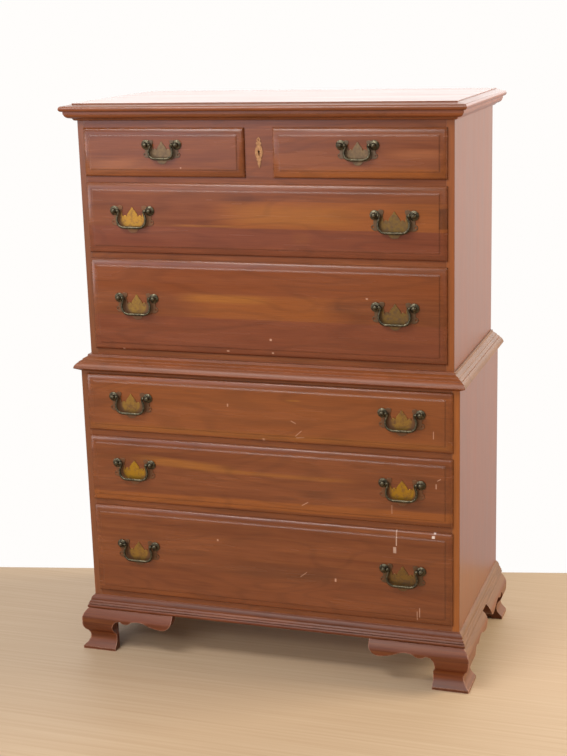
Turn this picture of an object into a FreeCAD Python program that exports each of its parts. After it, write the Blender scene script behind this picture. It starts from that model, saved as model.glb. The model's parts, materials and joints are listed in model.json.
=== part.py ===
"""Chest on chest: a wide lower case of three long drawers on ogee bracket feet, and a narrower
upper case of two small and two long drawers, each case moulded at its top.

Millimetres. +Z is up, the drawers face -Y, and the origin is on the floor under the middle.
"""
import FreeCAD
import Part
import math
import os

# ---------------------------------------------------------------- cases
LOWER_WIDTH = 940.0
LOWER_DEPTH = 477.0
SIDE_SETBACK = 18.0           # upper case in from each side of the lower one
UPPER_SETBACK = 24.0          # upper case front behind lower case front
SIDE_THICK = 19.0
BACK_THICK = 6.0
BACK_REBATE = 10.0            # how far a back panel laps into each side
RAIL_DEPTH = 60.0
RAIL_SHOW = 14.0              # rail seen between two drawer lips
TALL_RAIL_DEPTH = 22.0        # top and bottom rails, set on edge
STILE_SHOW = 68.0             # centre stile seen between the small drawers
TENON_LENGTH = 8.0
TENON_THICK = 10.0
TENON_SHOULDER = 6.0          # tenon inside the edges of its rail
RUNNER_WIDTH = 40.0
BACK_RAIL_DEPTH = 40.0
GUIDE_HEIGHT = 14.0
GUIDE_MARGIN = 4.0            # centre runner past the drawer sides it carries
DUST_THICK = 4.0
DUST_GROOVE = 6.0
CASE_FIT = 0.3                # upper case inside the waist moulding

# ---------------------------------------------------------------- drawer fronts
SMALL_HEIGHT = 114.0
UPPER_MIDDLE_HEIGHT = 167.5
UPPER_BOTTOM_HEIGHT = 223.5
LOWER_TOP_HEIGHT = 143.0
LOWER_MIDDLE_HEIGHT = 166.0
LOWER_BOTTOM_HEIGHT = 230.0
LIP_OVERLAP = 4.0             # lip over rail and side
LIP_GAP = 0.3                 # shut drawer's lip to the case face
LIP_EDGE = 2.0                # square part of the lip's edge
NOSE_RISE = 4.2               # rounded corner of the lip
NOSE_RUN = 4.0
NOSE_SWELL = 0.5
FIELD_PROUD = 10.0            # raised field in front of the case face
FIELD_STEP = 1.2
STEP_RUN = 0.5
BAND_WIDTH = 17.5             # lip's edge to the field, across a swelling band
BAND_SWELL = 0.8
CORE_DEPTH = 10.0             # part of the front inside the opening
CORE_GAP = 1.0
SIDE_GAP = 1.0                # drawer side to case side
RUN_GAP = 0.3                 # drawer side above its runner

# ---------------------------------------------------------------- drawer boxes
BOX_SIDE_THICK = 12.0
BOX_BACK_THICK = 12.0
BOX_SIDE_DROP = 9.0           # side below the top of the opening
BOX_BACK_CLEAR = 22.0         # shut drawer to the back panel
BOTTOM_THICK = 5.0
BOTTOM_RAISE = 10.0
BOTTOM_GROOVE = 6.0
TAIL_LENGTH = 12.0            # dovetails of the side in the front
TAIL_PITCH = 36.0
PIN_WIDTH = 9.0               # root of the pin between two tails
TAIL_FLARE = 2.2

# ---------------------------------------------------------------- heights between drawers and mouldings
FOOT_HEIGHT = 107.0
BASE_MOULD_HEIGHT = 34.0
BASE_RAIL_SHOW = 14.0
WAIST_RAIL_SHOW = 5.0
WAIST_LAP = 18.0              # waist moulding over the lower case
WAIST_RISE = 20.5             # waist moulding round the upper case
UPPER_RAIL_SHOW = 14.5
TOP_RAIL_SHOW = 16.5
BED_HEIGHT = 22.0

# ---------------------------------------------------------------- top board and mouldings
TOP_OVERHANG = 33.0
TOP_BACK_OVERHANG = 6.0
TOP_NOSE = 13.0               # thickness of the rounded nose
TOP_FIELD_OVERHANG = 8.0
TOP_MARGIN_RISE = 3.7
TOP_FIELD_STEP = 1.8
BED_PROJECTION = 25.0
BED_FILLET = 6.0
BED_SWELL = 2.1
BED_BEAD = 5.0
BED_BEAD_START = 3.5
BED_SOFFIT = 5.0
MOULD_STEP = 1.2              # small square step beside a curve
WAIST_OVERHANG = 15.0
WAIST_UNDERCUT = 7.0
WAIST_SWELL = 1.8
WAIST_OVOLO_RUN = 9.5         # ovolo in from the tip, and its height
WAIST_OVOLO_RISE = 13.0
WAIST_STEP = 2.0              # risers between the courses above the ovolo
WAIST_COURSE_RUN = 7.5        # the lower course; the upper one takes what is left
WAIST_COURSE_RISE = 3.9
WAIST_FILLET = 4.5            # top edge from the upper case's side
WAIST_FILLET_RISE = 5.0
BASE_OVERHANG = 16.5
BASE_BEAD = 9.0
BASE_BEAD_SWELL = 3.0
BASE_QUIRK = 2.0
BASE_QUIRK_DEPTH = 4.0
BASE_COURSE_RUN = 3.2         # each of the two small courses, and its height
BASE_COURSE_RISE = 3.3
BASE_RISER = 2.4              # upright face above each of them
BASE_SWELL = 1.4

# ---------------------------------------------------------------- ogee bracket feet
FOOT_TOP = 14.0               # foot's face beyond the case face, from top to floor
FOOT_SWELL = 11.6
FOOT_TURN = 21.5
FOOT_WAIST = 13.3
FOOT_TOE = 28.3
FOOT_TURN_Z = 50.0            # where the swell turns into the hollow
FOOT_ANKLE_Z = 13.5
FOOT_PAD = 6.5
FOOT_LEG = 60.0               # leg's inner edge from the case corner
FOOT_WING = 216.0             # end of the scrolled wing from the case corner
REAR_BRACKET_THICK = 18.0
REAR_BRACKET_REACH = 130.0
REAR_BRACKET_LEG = 46.0
REAR_BRACKET_EDGE = 20.0
BLOCK_SIZE = 40.0
BLOCK_CLEAR = 4.0             # glue block above the floor

# ---------------------------------------------------------------- pulls
LARGE_SPACING = 90.0          # between posts
SMALL_SPACING = 77.0
LARGE_DROP = 39.0             # hinge line to the middle of the grip
SMALL_DROP = 32.0
UPPER_PULL_INSET = 119.0      # middle of a pull from the end of its drawer's lip
LOWER_PULL_INSET = 118.0
POST_ABOVE_CENTRE = 18.5
PLATE_THICK = 1.6
PIERCING_RADIUS = 2.6
PIERCING_OUT = 49.0           # piercing in a wing tip, from the plate's middle and the posts' line
PIERCING_DROP = 27.0
STEM_RADIUS = 2.2
STEM_GAP = 0.2
ROSE_RADIUS = 11.5            # round foot of a post
ROSE_EDGE = 0.8
ROSE_SHOULDER = 7.5           # radius and height where its dome meets the neck's slope
ROSE_HEIGHT = 2.4
NECK_RADIUS = 4.8
NECK_HEIGHT = 3.0
KNOB_RADIUS = 6.5
KNOB_SHOULDER = 5.2
KNOB_SHOULDER_RISE = 4.2      # shoulder above the knob's middle
KNOB_TOP = 1.8                # flat on its top
HINGE_HEIGHT = 7.5            # bail's hinge line, through the knob's middle, above the field
PIN_RADIUS = 1.8
PIN_GAP = 0.25
PIN_DEPTH = 4.0
NUT_RADIUS = 5.5
NUT_THICK = 3.5
BAIL_NECK_RADIUS = 2.0
BAIL_GRIP_RADIUS = 3.0
BAIL_WIDEST_IN = 2.2          # widest part of the bail in from the knob
BAIL_BOW = 2.5                # grip stands out past the hinge line
BAIL_SIDES = 6                # flat sides of a bent or turned metal part
TURNED_SIDES = 8
NUT_SIDES = 6

# ---------------------------------------------------------------- escutcheon
ESCUTCHEON_THICK = 1.5
KEYHOLE_RADIUS = 2.4
KEYHOLE_SLOT = 2.6
KEYHOLE_DROP = 6.0            # foot of the slot below the stile's middle
KEYHOLE_DEPTH = 8.0

# ---------------------------------------------------------------- worked out
UPPER_WIDTH = LOWER_WIDTH - 2 * SIDE_SETBACK
LOWER_FRONT = FOOT_TOE - (FOOT_TOE + LOWER_DEPTH + TOP_BACK_OVERHANG) / 2
UPPER_FRONT = LOWER_FRONT + UPPER_SETBACK
CASE_BACK = LOWER_FRONT + LOWER_DEPTH
RAIL_THICK = RAIL_SHOW + 2 * LIP_OVERLAP
EDGE_SHOW = SIDE_THICK - LIP_OVERLAP
STILE_HALF = STILE_SHOW / 2 + LIP_OVERLAP
CORE_BACK = CORE_DEPTH + FIELD_PROUD

BASE_TOP = FOOT_HEIGHT + BASE_MOULD_HEIGHT
LOWER_BOTTOM_Z = BASE_TOP + BASE_RAIL_SHOW
LOWER_MIDDLE_Z = LOWER_BOTTOM_Z + LOWER_BOTTOM_HEIGHT + RAIL_SHOW
LOWER_TOP_Z = LOWER_MIDDLE_Z + LOWER_MIDDLE_HEIGHT + RAIL_SHOW
WAIST_UNDER = LOWER_TOP_Z + LOWER_TOP_HEIGHT + WAIST_RAIL_SHOW
LOWER_CASE_TOP = WAIST_UNDER + WAIST_LAP
WAIST_TOP = LOWER_CASE_TOP + WAIST_RISE
UPPER_BOTTOM_Z = WAIST_TOP + UPPER_RAIL_SHOW
UPPER_MIDDLE_Z = UPPER_BOTTOM_Z + UPPER_BOTTOM_HEIGHT + RAIL_SHOW
SMALL_Z = UPPER_MIDDLE_Z + UPPER_MIDDLE_HEIGHT + RAIL_SHOW
BED_UNDER = SMALL_Z + SMALL_HEIGHT + TOP_RAIL_SHOW
UPPER_CASE_TOP = BED_UNDER + BED_HEIGHT


# ================================================================ helpers
SAME_PLACE = 1e-6             # closer than this, two points are one


def vector(x, y, z):
    return FreeCAD.Vector(x, y, z)


def box(x0, x1, y0, y1, z0, z1):
    """Block between two corners, given in either order."""
    low = vector(min(x0, x1), min(y0, y1), min(z0, z1))
    return Part.makeBox(abs(x1 - x0), abs(y1 - y0), abs(z1 - z0), low)


def joined(shape, others):
    """One solid of several that touch, with no seams left on flat faces."""
    return shape.fuse(others).removeSplitter()


def save(name, solids):
    """Write one node; the solids of a list stay separate in it."""
    singles = [solid for shape in solids for solid in shape.Solids]
    shape = singles[0] if len(singles) == 1 else Part.makeCompound(singles)
    shape.exportStep("parts/" + name + ".step")


def swell_of(point):
    return point[2] if len(point) > 2 else 0.0


def edge(start, end, place):
    """Straight edge, or an arc where the end point has a third value: the arc's height over
    its chord. It is positive where the arc swells out of an outline walked anticlockwise."""
    first = place(start[0], start[1])
    last = place(end[0], end[1])
    swell = swell_of(end)
    if abs(swell) < SAME_PLACE:
        return Part.LineSegment(first, last).toShape()
    run = end[0] - start[0]
    rise = end[1] - start[1]
    chord = math.hypot(run, rise)
    middle = place((start[0] + end[0]) / 2 + swell * rise / chord,
                   (start[1] + end[1]) / 2 - swell * run / chord)
    return Part.Arc(first, middle, last).toShape()


def closed_wire(points, place):
    """Outline through the points; one that repeats the point before it is passed over."""
    pairs = zip(points, points[1:] + points[:1])
    return Part.Wire([edge(a, b, place) for a, b in pairs if math.dist(a[:2], b[:2]) > SAME_PLACE])


def prism(points, place, along):
    """Closed outline of points, set in space by place and pushed along a vector."""
    return Part.Face(closed_wire(points, place)).extrude(along)


def plan_prism(corners, low, high):
    """Upright prism on a plan outline."""
    return prism(corners, lambda x, y: vector(x, y, low), vector(0, 0, high - low))


def both_halves(half):
    """Whole outline, symmetrical about the vertical axis, from its right half, which runs
    from a bottom point to a top point that both lie on the axis."""
    left = [(-here[0], here[1], swell_of(after))
            for here, after in zip(half[-2:0:-1], half[:1:-1])]
    return [(half[0][0], half[0][1], swell_of(half[1]))] + half[1:] + left


def ring(centre, radius, sides, across, up):
    """Corners of a flat-sided ring round a centre, in the plane of two unit vectors."""
    turns = [2 * math.pi * (number + 0.5) / sides for number in range(sides)]
    return [centre + across * (radius * math.cos(turn)) + up * (radius * math.sin(turn))
            for turn in turns]


def skin(rings):
    """Solid with flat facets from each ring to the next, closed by the first and last ones."""
    facets = [rings[0], rings[-1]]
    for here, after in zip(rings, rings[1:]):
        for number, corner in enumerate(here):
            beside = (number + 1) % len(here)
            facets.append([corner, here[beside], after[number]])
            facets.append([here[beside], after[beside], after[number]])
    faces = [Part.Face(Part.makePolygon(corners + corners[:1])) for corners in facets]
    solid = Part.Solid(Part.Shell(faces)).removeSplitter()
    if solid.Volume < 0:
        solid.reverse()
    return solid


# ================================================================ case work
def rail_tenons(half_width, front, depth, low, high):
    """Stub tenons that carry a rail in the two case sides."""
    middle = (low + high) / 2
    return [box(side * half_width, side * (half_width + TENON_LENGTH),
                front + TENON_SHOULDER, front + depth - TENON_SHOULDER,
                middle - TENON_THICK / 2, middle + TENON_THICK / 2) for side in (-1, 1)]


def web_frame(half_width, start, top):
    """Runners and back rail behind a front rail, and the dust panel that they hold."""
    rear = CASE_BACK - BACK_THICK
    low = top - RAIL_THICK
    parts = [box(side * (half_width - RUNNER_WIDTH), side * half_width, start, rear, low, top)
             for side in (-1, 1)]
    reach = half_width - RUNNER_WIDTH
    parts.append(box(-reach, reach, rear - BACK_RAIL_DEPTH, rear, low, top))
    middle = top - RAIL_THICK / 2
    dust = box(-reach - DUST_GROOVE, reach + DUST_GROOVE, start - DUST_GROOVE,
               rear - BACK_RAIL_DEPTH + DUST_GROOVE, middle - DUST_THICK / 2, middle + DUST_THICK / 2)
    return parts, dust


def case_side(side, width, front, bottom, top, mortises):
    """One side board, with its rebate for the back panel and its mortises."""
    outer = side * width / 2
    inner = side * (width / 2 - SIDE_THICK)
    board = box(inner, outer, front, CASE_BACK, bottom, top)
    rebate = box(inner, inner + side * BACK_REBATE, CASE_BACK - BACK_THICK, CASE_BACK, bottom, top)
    return board.cut([rebate] + mortises)


def build_case(prefix, width, front, bottom, top, rails, frame_tops, stile=None):
    """Carcase of sides, rails, web frames and back panel. rails are (low, high, depth).
    Returns the dust panels, which both cases keep in one node."""
    half = width / 2 - SIDE_THICK
    boards = []
    mortises = []
    for low, high, depth in rails:
        tenons = rail_tenons(half, front, depth, low, high)
        mortises += tenons
        boards.append(joined(box(-half, half, front, front + depth, low, high), tenons))
    frames = []
    dusts = []
    for frame_top, depth, has_dust in frame_tops:
        parts, dust = web_frame(half, front + depth, frame_top)
        if has_dust:
            dusts.append(dust)
            parts = [part.cut(dust) for part in parts]
            boards = [board.cut(dust) for board in boards]
        frames += parts
    if stile:
        frames = centre_runner(frames, dusts, front)
        boards = [board.cut(stile) for board in boards]
    save(prefix + "_side_left", [case_side(-1, width, front, bottom, top, mortises)])
    save(prefix + "_side_right", [case_side(1, width, front, bottom, top, mortises)])
    save(prefix + "_rails", boards)
    save(prefix + "_web_frames", frames)
    lap = half + BACK_REBATE
    save(prefix + "_back_panel", [box(-lap, lap, CASE_BACK - BACK_THICK, CASE_BACK, bottom, top)])
    return dusts


def centre_runner(frames, dusts, front):
    """Adds the runner and guide between the two small drawers."""
    half = STILE_HALF + SIDE_GAP + BOX_SIDE_THICK + GUIDE_MARGIN
    top = SMALL_Z + LIP_OVERLAP
    rear = CASE_BACK - BACK_THICK
    start = front + RAIL_DEPTH
    runner = box(-half, half, start, rear - BACK_RAIL_DEPTH, top - RAIL_THICK, top)
    guide = box(-STILE_HALF, STILE_HALF, front + TALL_RAIL_DEPTH, rear, top, top + GUIDE_HEIGHT)
    return frames + [runner.cut(dusts[-1]), guide]


def build_stile():
    """Upright between the small drawers, tenoned into the rails, with its keyhole."""
    low = SMALL_Z + LIP_OVERLAP
    high = SMALL_Z + SMALL_HEIGHT - LIP_OVERLAP
    back = UPPER_FRONT + TALL_RAIL_DEPTH
    post = box(-STILE_HALF, STILE_HALF, UPPER_FRONT, back, low, high)
    tenon_half = STILE_HALF - TENON_SHOULDER
    tenons = [box(-tenon_half, tenon_half, UPPER_FRONT + TENON_SHOULDER, back - TENON_SHOULDER,
                  end, end + sign * TENON_LENGTH) for end, sign in ((low, -1), (high, 1))]
    stile = joined(post, tenons)
    centre = SMALL_Z + SMALL_HEIGHT / 2
    stile = stile.cut(keyhole(centre, UPPER_FRONT, UPPER_FRONT + KEYHOLE_DEPTH))
    save("upper_centre_stile", [stile])
    outline = both_halves(ESCUTCHEON_HALF)
    plate = prism(outline, lambda x, z: vector(x, UPPER_FRONT - ESCUTCHEON_THICK, centre + z),
                  vector(0, ESCUTCHEON_THICK, 0))
    save("escutcheon", [plate.cut(keyhole(centre, UPPER_FRONT - ESCUTCHEON_THICK, UPPER_FRONT))])
    return stile


# Right half of the escutcheon, from its lower tip to its finial, about its middle.
ESCUTCHEON_HALF = [(0, -36), (4.2, -25), (3.0, -19), (6.5, -15.5), (5.0, -12.5), (8.7, -6),
                   (9.5, 1), (8.8, 9), (5.0, 15.5), (4.0, 18.5), (7.2, 21.5), (2.6, 25), (4.6, 31),
                   (0, 36)]


def keyhole(centre, front, back):
    """Round over a slot, cut through from front to back."""
    eye = Part.makeCylinder(KEYHOLE_RADIUS, back - front, vector(0, front, centre + KEYHOLE_RADIUS),
                            vector(0, 1, 0))
    slot = box(-KEYHOLE_SLOT / 2, KEYHOLE_SLOT / 2, front, back, centre - KEYHOLE_DROP,
               centre + KEYHOLE_RADIUS)
    return eye.fuse(slot)


# ================================================================ mouldings
def moulding(width, front, inner_side, inner_front, outer, low, high, profile):
    """Three lengths of one moulding round a case, mitred at the front corners. profile(inner)
    is its outline in distance out from the case face and height; inner and outer bound it."""
    half = width / 2
    front_run = prism(profile(inner_front), lambda o, z: vector(-half - outer, front - o, z),
                      vector(width + 2 * outer, 0, 0))
    corner = half + inner_side
    plan = [(-half - outer, front - outer), (half + outer, front - outer),
            (corner, front - inner_side), (corner, front - inner_front),
            (-corner, front - inner_front), (-corner, front - inner_side)]
    pieces = [front_run.common(plan_prism(plan, low, high))]
    for side in (-1, 1):
        run = prism(profile(inner_side), lambda o, z: vector(side * (half + o), front - outer, z),
                    vector(0, CASE_BACK - front + outer, 0))
        plan = [(side * (half + outer), front - outer), (side * (half + outer), CASE_BACK),
                (side * corner, CASE_BACK), (side * corner, front - inner_side)]
        pieces.append(run.common(plan_prism(plan, low, high)))
    return pieces


def base_profile(inner):
    """Bead, quirk, two small courses and the sloping weathering of the base moulding."""
    root = BASE_OVERHANG - BASE_BEAD_SWELL
    bead_top = FOOT_HEIGHT + BASE_BEAD
    shoulder = BASE_OVERHANG - BASE_QUIRK_DEPTH
    out = BASE_OVERHANG - MOULD_STEP
    high = bead_top + BASE_QUIRK
    outline = [(inner, FOOT_HEIGHT), (root, FOOT_HEIGHT), (root, bead_top, BASE_BEAD_SWELL),
               (shoulder, bead_top), (shoulder, high), (out, high)]
    for _ in range(2):
        out -= BASE_COURSE_RUN
        high += BASE_COURSE_RISE
        outline += [(out, high), (out, high + BASE_RISER)]
        high += BASE_RISER
    return outline + [(inner + MOULD_STEP, BASE_TOP - MOULD_STEP, BASE_SWELL), (inner, BASE_TOP)]


def waist_profile(inner):
    """Cover moulding that laps the lower case and frames the foot of the upper one: an ovolo
    under two sloping courses and a fillet."""
    tip = WAIST_UNDER + WAIST_UNDERCUT + MOULD_STEP
    ovolo_out = WAIST_OVERHANG - WAIST_OVOLO_RUN
    ovolo_top = tip + WAIST_OVOLO_RISE
    lower = ovolo_out - MOULD_STEP
    upper = lower - WAIST_COURSE_RUN
    step_top = ovolo_top + WAIST_STEP
    course_top = step_top + WAIST_COURSE_RISE
    lip = WAIST_FILLET - SIDE_SETBACK
    return [(0, WAIST_UNDER), (WAIST_OVERHANG - MOULD_STEP, tip - MOULD_STEP), (WAIST_OVERHANG, tip),
            (ovolo_out, ovolo_top, WAIST_SWELL), (lower, ovolo_top), (lower, step_top),
            (upper, course_top), (upper, course_top + WAIST_STEP),
            (lip + MOULD_STEP, WAIST_TOP - WAIST_FILLET_RISE), (lip, WAIST_TOP),
            (inner, WAIST_TOP), (inner, LOWER_CASE_TOP), (0, LOWER_CASE_TOP)]


def bed_profile(inner):
    """Bed moulding under the top board: bead, soffit, ovolo and fillet."""
    bead_end = BED_BEAD_START + BED_BEAD
    bead_top = BED_UNDER + BED_BEAD
    ovolo_start = bead_end + BED_SOFFIT
    ovolo_base = bead_top + MOULD_STEP
    fillet = UPPER_CASE_TOP - BED_FILLET
    return [(inner, BED_UNDER), (BED_BEAD_START, BED_UNDER), (bead_end, bead_top, MOULD_STEP),
            (ovolo_start, ovolo_base), (BED_PROJECTION - MOULD_STEP, fillet - MOULD_STEP, BED_SWELL),
            (BED_PROJECTION - MOULD_STEP, fillet), (BED_PROJECTION, fillet),
            (BED_PROJECTION, UPPER_CASE_TOP), (inner, UPPER_CASE_TOP)]


def build_mouldings():
    step_in = CASE_FIT - SIDE_SETBACK
    save("base_moulding", moulding(LOWER_WIDTH, LOWER_FRONT, 0, 0, BASE_OVERHANG, FOOT_HEIGHT,
                                   BASE_TOP, base_profile))
    save("waist_moulding", moulding(LOWER_WIDTH, LOWER_FRONT, step_in, CASE_FIT - UPPER_SETBACK,
                                    WAIST_OVERHANG, WAIST_UNDER, WAIST_TOP, waist_profile))
    save("cornice_moulding", moulding(UPPER_WIDTH, UPPER_FRONT, 0, 0, BED_PROJECTION, BED_UNDER,
                                      UPPER_CASE_TOP, bed_profile))


def nosed_edge(reach):
    """Right-hand edge of the top board in section, reach being its nose from the start."""
    nose_top = UPPER_CASE_TOP + TOP_NOSE
    field = reach - TOP_OVERHANG + TOP_FIELD_OVERHANG
    root = reach - TOP_NOSE / 2
    margin = nose_top + TOP_MARGIN_RISE
    return [(root, UPPER_CASE_TOP), (root, nose_top, TOP_NOSE / 2), (field, margin),
            (field, margin + TOP_FIELD_STEP)]


def build_top():
    """Top board, nosed at the front and ends and cut square at the back."""
    reach = UPPER_WIDTH / 2 + TOP_OVERHANG
    back = CASE_BACK + TOP_BACK_OVERHANG
    nose = UPPER_FRONT - TOP_OVERHANG
    ends = nosed_edge(reach)
    across = both_halves([(0, UPPER_CASE_TOP)] + ends + [(0, ends[-1][1])])
    lengthways = prism(across, lambda x, z: vector(x, nose, z), vector(0, back - nose, 0))
    front = [(-back, UPPER_CASE_TOP)] + nosed_edge(-nose) + [(-back, ends[-1][1])]
    crossways = prism(front, lambda out, z: vector(-reach, -out, z), vector(2 * reach, 0, 0))
    save("top_board", [lengthways.common(crossways)])


# ================================================================ feet
def foot_face():
    """Ogee face of a bracket foot, in distance out from the case face and height."""
    return [(0, 0), (FOOT_TOE, 0), (FOOT_TOE, FOOT_PAD), (FOOT_TURN, FOOT_ANKLE_Z),
            (FOOT_TURN, FOOT_TURN_Z, FOOT_WAIST - FOOT_TURN),
            (FOOT_TOP, FOOT_HEIGHT, FOOT_SWELL), (0, FOOT_HEIGHT)]


# Scroll under the wing of a bracket: distance past the leg's inner edge, or short of the
# wing's end, and depth below the foot's top.
SCROLL_BY_LEG = [(0, 65), (4, 28, -8), (16, 25.5, -0.8), (44, 26.5, 5), (46, 24.5), (86, 26, -4)]
SCROLL_BY_END = [(29, 36.5, 1.5), (0, 10, 8)]


def foot_scroll(start):
    """Scrolled outline of a bracket, in distance in from the case corner and height."""
    by_leg = [(FOOT_LEG + past, FOOT_HEIGHT - deep, *swell) for past, deep, *swell in SCROLL_BY_LEG]
    by_end = [(FOOT_WING - short, FOOT_HEIGHT - deep, *swell) for short, deep, *swell in SCROLL_BY_END]
    return [(start, 0), (FOOT_LEG, 0), *by_leg, *by_end, (FOOT_WING, FOOT_HEIGHT), (start, FOOT_HEIGHT)]


def bracket(side, corner_y, facing, mitred, along_front):
    """One ogee bracket. facing is -1 where the wing runs back from the front corner and +1
    where it runs forward from the rear corner."""
    half = LOWER_WIDTH / 2
    reach = FOOT_TOE + FOOT_WING
    toe = FOOT_TOE if mitred else 0.0
    scroll = foot_scroll(-toe)
    if along_front:
        blank = prism(foot_face(), lambda o, z: vector(side * (half + toe), corner_y - o, z),
                      vector(-side * reach, 0, 0))
        cutter = prism(scroll, lambda u, z: vector(side * (half - u), corner_y - FOOT_TOE, z),
                       vector(0, FOOT_TOE, 0))
        plan = [(side * half, corner_y), (side * (half + toe), corner_y - toe),
                (side * (half - FOOT_WING), corner_y - FOOT_TOE), (side * (half - FOOT_WING), corner_y)]
    else:
        blank = prism(foot_face(), lambda o, z: vector(side * (half + o), corner_y + facing * toe, z),
                      vector(0, -facing * reach, 0))
        cutter = prism(scroll, lambda u, z: vector(side * half, corner_y - facing * u, z),
                       vector(side * FOOT_TOE, 0, 0))
        plan = [(side * half, corner_y), (side * (half + FOOT_TOE), corner_y + facing * toe),
                (side * (half + FOOT_TOE), corner_y - facing * FOOT_WING),
                (side * half, corner_y - facing * FOOT_WING)]
    return blank.common(cutter).common(plan_prism(plan, 0, FOOT_HEIGHT))


def rear_bracket(side):
    """Plain bracket across the back of a rear foot."""
    half = LOWER_WIDTH / 2
    outline = [(0, 0), (REAR_BRACKET_LEG, 0), (REAR_BRACKET_LEG, FOOT_ANKLE_Z),
               (REAR_BRACKET_REACH, FOOT_HEIGHT - REAR_BRACKET_EDGE, -REAR_BRACKET_EDGE),
               (REAR_BRACKET_REACH, FOOT_HEIGHT), (0, FOOT_HEIGHT)]
    return prism(outline, lambda u, z: vector(side * (half - u), CASE_BACK - REAR_BRACKET_THICK, z),
                 vector(0, REAR_BRACKET_THICK, 0))


def build_feet():
    half = LOWER_WIDTH / 2
    fronts = []
    rears = []
    for side in (-1, 1):
        block_x = (side * (half - BLOCK_SIZE), side * half)
        fronts.append(bracket(side, LOWER_FRONT, -1, True, True))
        fronts.append(bracket(side, LOWER_FRONT, -1, True, False))
        fronts.append(box(*block_x, LOWER_FRONT, LOWER_FRONT + BLOCK_SIZE, BLOCK_CLEAR, FOOT_HEIGHT))
        rear_y = CASE_BACK - REAR_BRACKET_THICK
        rears.append(bracket(side, CASE_BACK, 1, False, False))
        rears.append(rear_bracket(side))
        rears.append(box(*block_x, rear_y - BLOCK_SIZE, rear_y, BLOCK_CLEAR, FOOT_HEIGHT))
    save("front_feet", fronts)
    save("rear_feet", rears)


# ================================================================ drawers
def lipped_section(span):
    """Section of a drawer front across its span: lip, rounded nose, swelling band, field."""
    half = [(LIP_EDGE, 0), (LIP_EDGE + NOSE_RISE, NOSE_RUN, NOSE_SWELL),
            (FIELD_PROUD - FIELD_STEP, BAND_WIDTH - STEP_RUN, BAND_SWELL), (FIELD_PROUD, BAND_WIDTH)]
    rise = [(span - inward, out, *swell) for out, inward, *swell in half]
    swells = [swell_of(point) for point in half[1:]] + [0]
    fall = [(inward, out, swell) for (out, inward, *_), swell in zip(half[::-1], swells[::-1])]
    return [(0, LIP_GAP), (span, LIP_GAP)] + rise + fall


class Drawer:
    """One drawer: its place by the outline of its lip, and its pulls."""

    def __init__(self, name, x0, x1, front, z0, height, pulls, spacing, drop):
        self.name = name
        self.lip = (x0, x1, z0, z0 + height)
        self.front = front
        self.pulls = pulls
        self.spacing = spacing
        self.drop = drop
        self.opening = (x0 + LIP_OVERLAP, x1 - LIP_OVERLAP, z0 + LIP_OVERLAP,
                        z0 + height - LIP_OVERLAP)
        self.post_z = z0 + height / 2 + POST_ABOVE_CENTRE
        self.core_back = front + CORE_DEPTH
        self.rear = CASE_BACK - BACK_THICK - BOX_BACK_CLEAR
        self.inside = (self.opening[0] + SIDE_GAP + BOX_SIDE_THICK,
                       self.opening[1] - SIDE_GAP - BOX_SIDE_THICK)
        self.box_z = (self.opening[2] + RUN_GAP, self.opening[3] - BOX_SIDE_DROP)

    def bottom_panel(self):
        low = self.box_z[0] + BOTTOM_RAISE
        return box(self.inside[0] - BOTTOM_GROOVE, self.inside[1] + BOTTOM_GROOVE,
                   self.core_back - BOTTOM_GROOVE, self.rear, low, low + BOTTOM_THICK)

    def side(self, inner, outer):
        """Side board with a row of dovetails at its front end."""
        low, high = self.box_z
        board = box(inner, outer, self.core_back, self.rear, low, high)
        count = max(2, round((high - low) / TAIL_PITCH))
        pitch = (high - low) / count
        root = (pitch - PIN_WIDTH) / 2
        tails = []
        for number in range(count):
            middle = low + (number + 0.5) * pitch
            outline = [(0, middle - root + TAIL_FLARE), (0, middle + root - TAIL_FLARE),
                       (-TAIL_LENGTH, middle + root), (-TAIL_LENGTH, middle - root)]
            tails.append(prism(outline, lambda y, z: vector(inner, self.core_back + y, z),
                               vector(outer - inner, 0, 0)))
        return joined(board, tails)

    def panel(self):
        """Lipped front: the section of one direction met with that of the other."""
        x0, x1, z0, z1 = self.lip
        upright = prism(lipped_section(z1 - z0), lambda s, out: vector(x0, self.front - out, z0 + s),
                        vector(x1 - x0, 0, 0))
        level = prism(lipped_section(x1 - x0), lambda s, out: vector(x0 + s, self.front - out, z0),
                      vector(0, 0, z1 - z0))
        core = box(self.opening[0] + CORE_GAP, self.opening[1] - CORE_GAP, self.front - LIP_GAP,
                   self.core_back, self.opening[2] + CORE_GAP, self.opening[3] - CORE_GAP)
        return joined(upright.common(level), [core])

    def build(self):
        field = self.front - FIELD_PROUD
        sides = [self.side(self.inside[0], self.inside[0] - BOX_SIDE_THICK),
                 self.side(self.inside[1], self.inside[1] + BOX_SIDE_THICK)]
        bottom = self.bottom_panel()
        hole = STEM_RADIUS + STEM_GAP
        holes = [turned(x, field, self.post_z, [(hole, 0), (hole, -CORE_BACK)]) for x in self.posts()]
        back = box(*self.inside, self.rear - BOX_BACK_THICK, self.rear,
                   self.box_z[0] + BOTTOM_RAISE + BOTTOM_THICK, self.box_z[1])
        save(self.name + "_front", [self.panel().cut(sides + [bottom] + holes)])
        save(self.name + "_box", [side.cut(bottom) for side in sides] + [back])
        save(self.name + "_bottom", [bottom])
        mounts = []
        for centre in self.pulls:
            mounts += pull_mount(centre, field, self.post_z, self.spacing)
        save(self.name + "_pull_mounts", mounts)
        for centre in self.pulls:
            save(self.bail_name(centre), [bail(centre, field, self.post_z, self.spacing, self.drop)])

    def posts(self):
        return [centre + side * self.spacing / 2 for centre in self.pulls for side in (-1, 1)]

    def bail_name(self, centre):
        if len(self.pulls) == 1:
            return self.name + "_bail"
        return self.name + ("_bail_left" if centre < 0 else "_bail_right")


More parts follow.
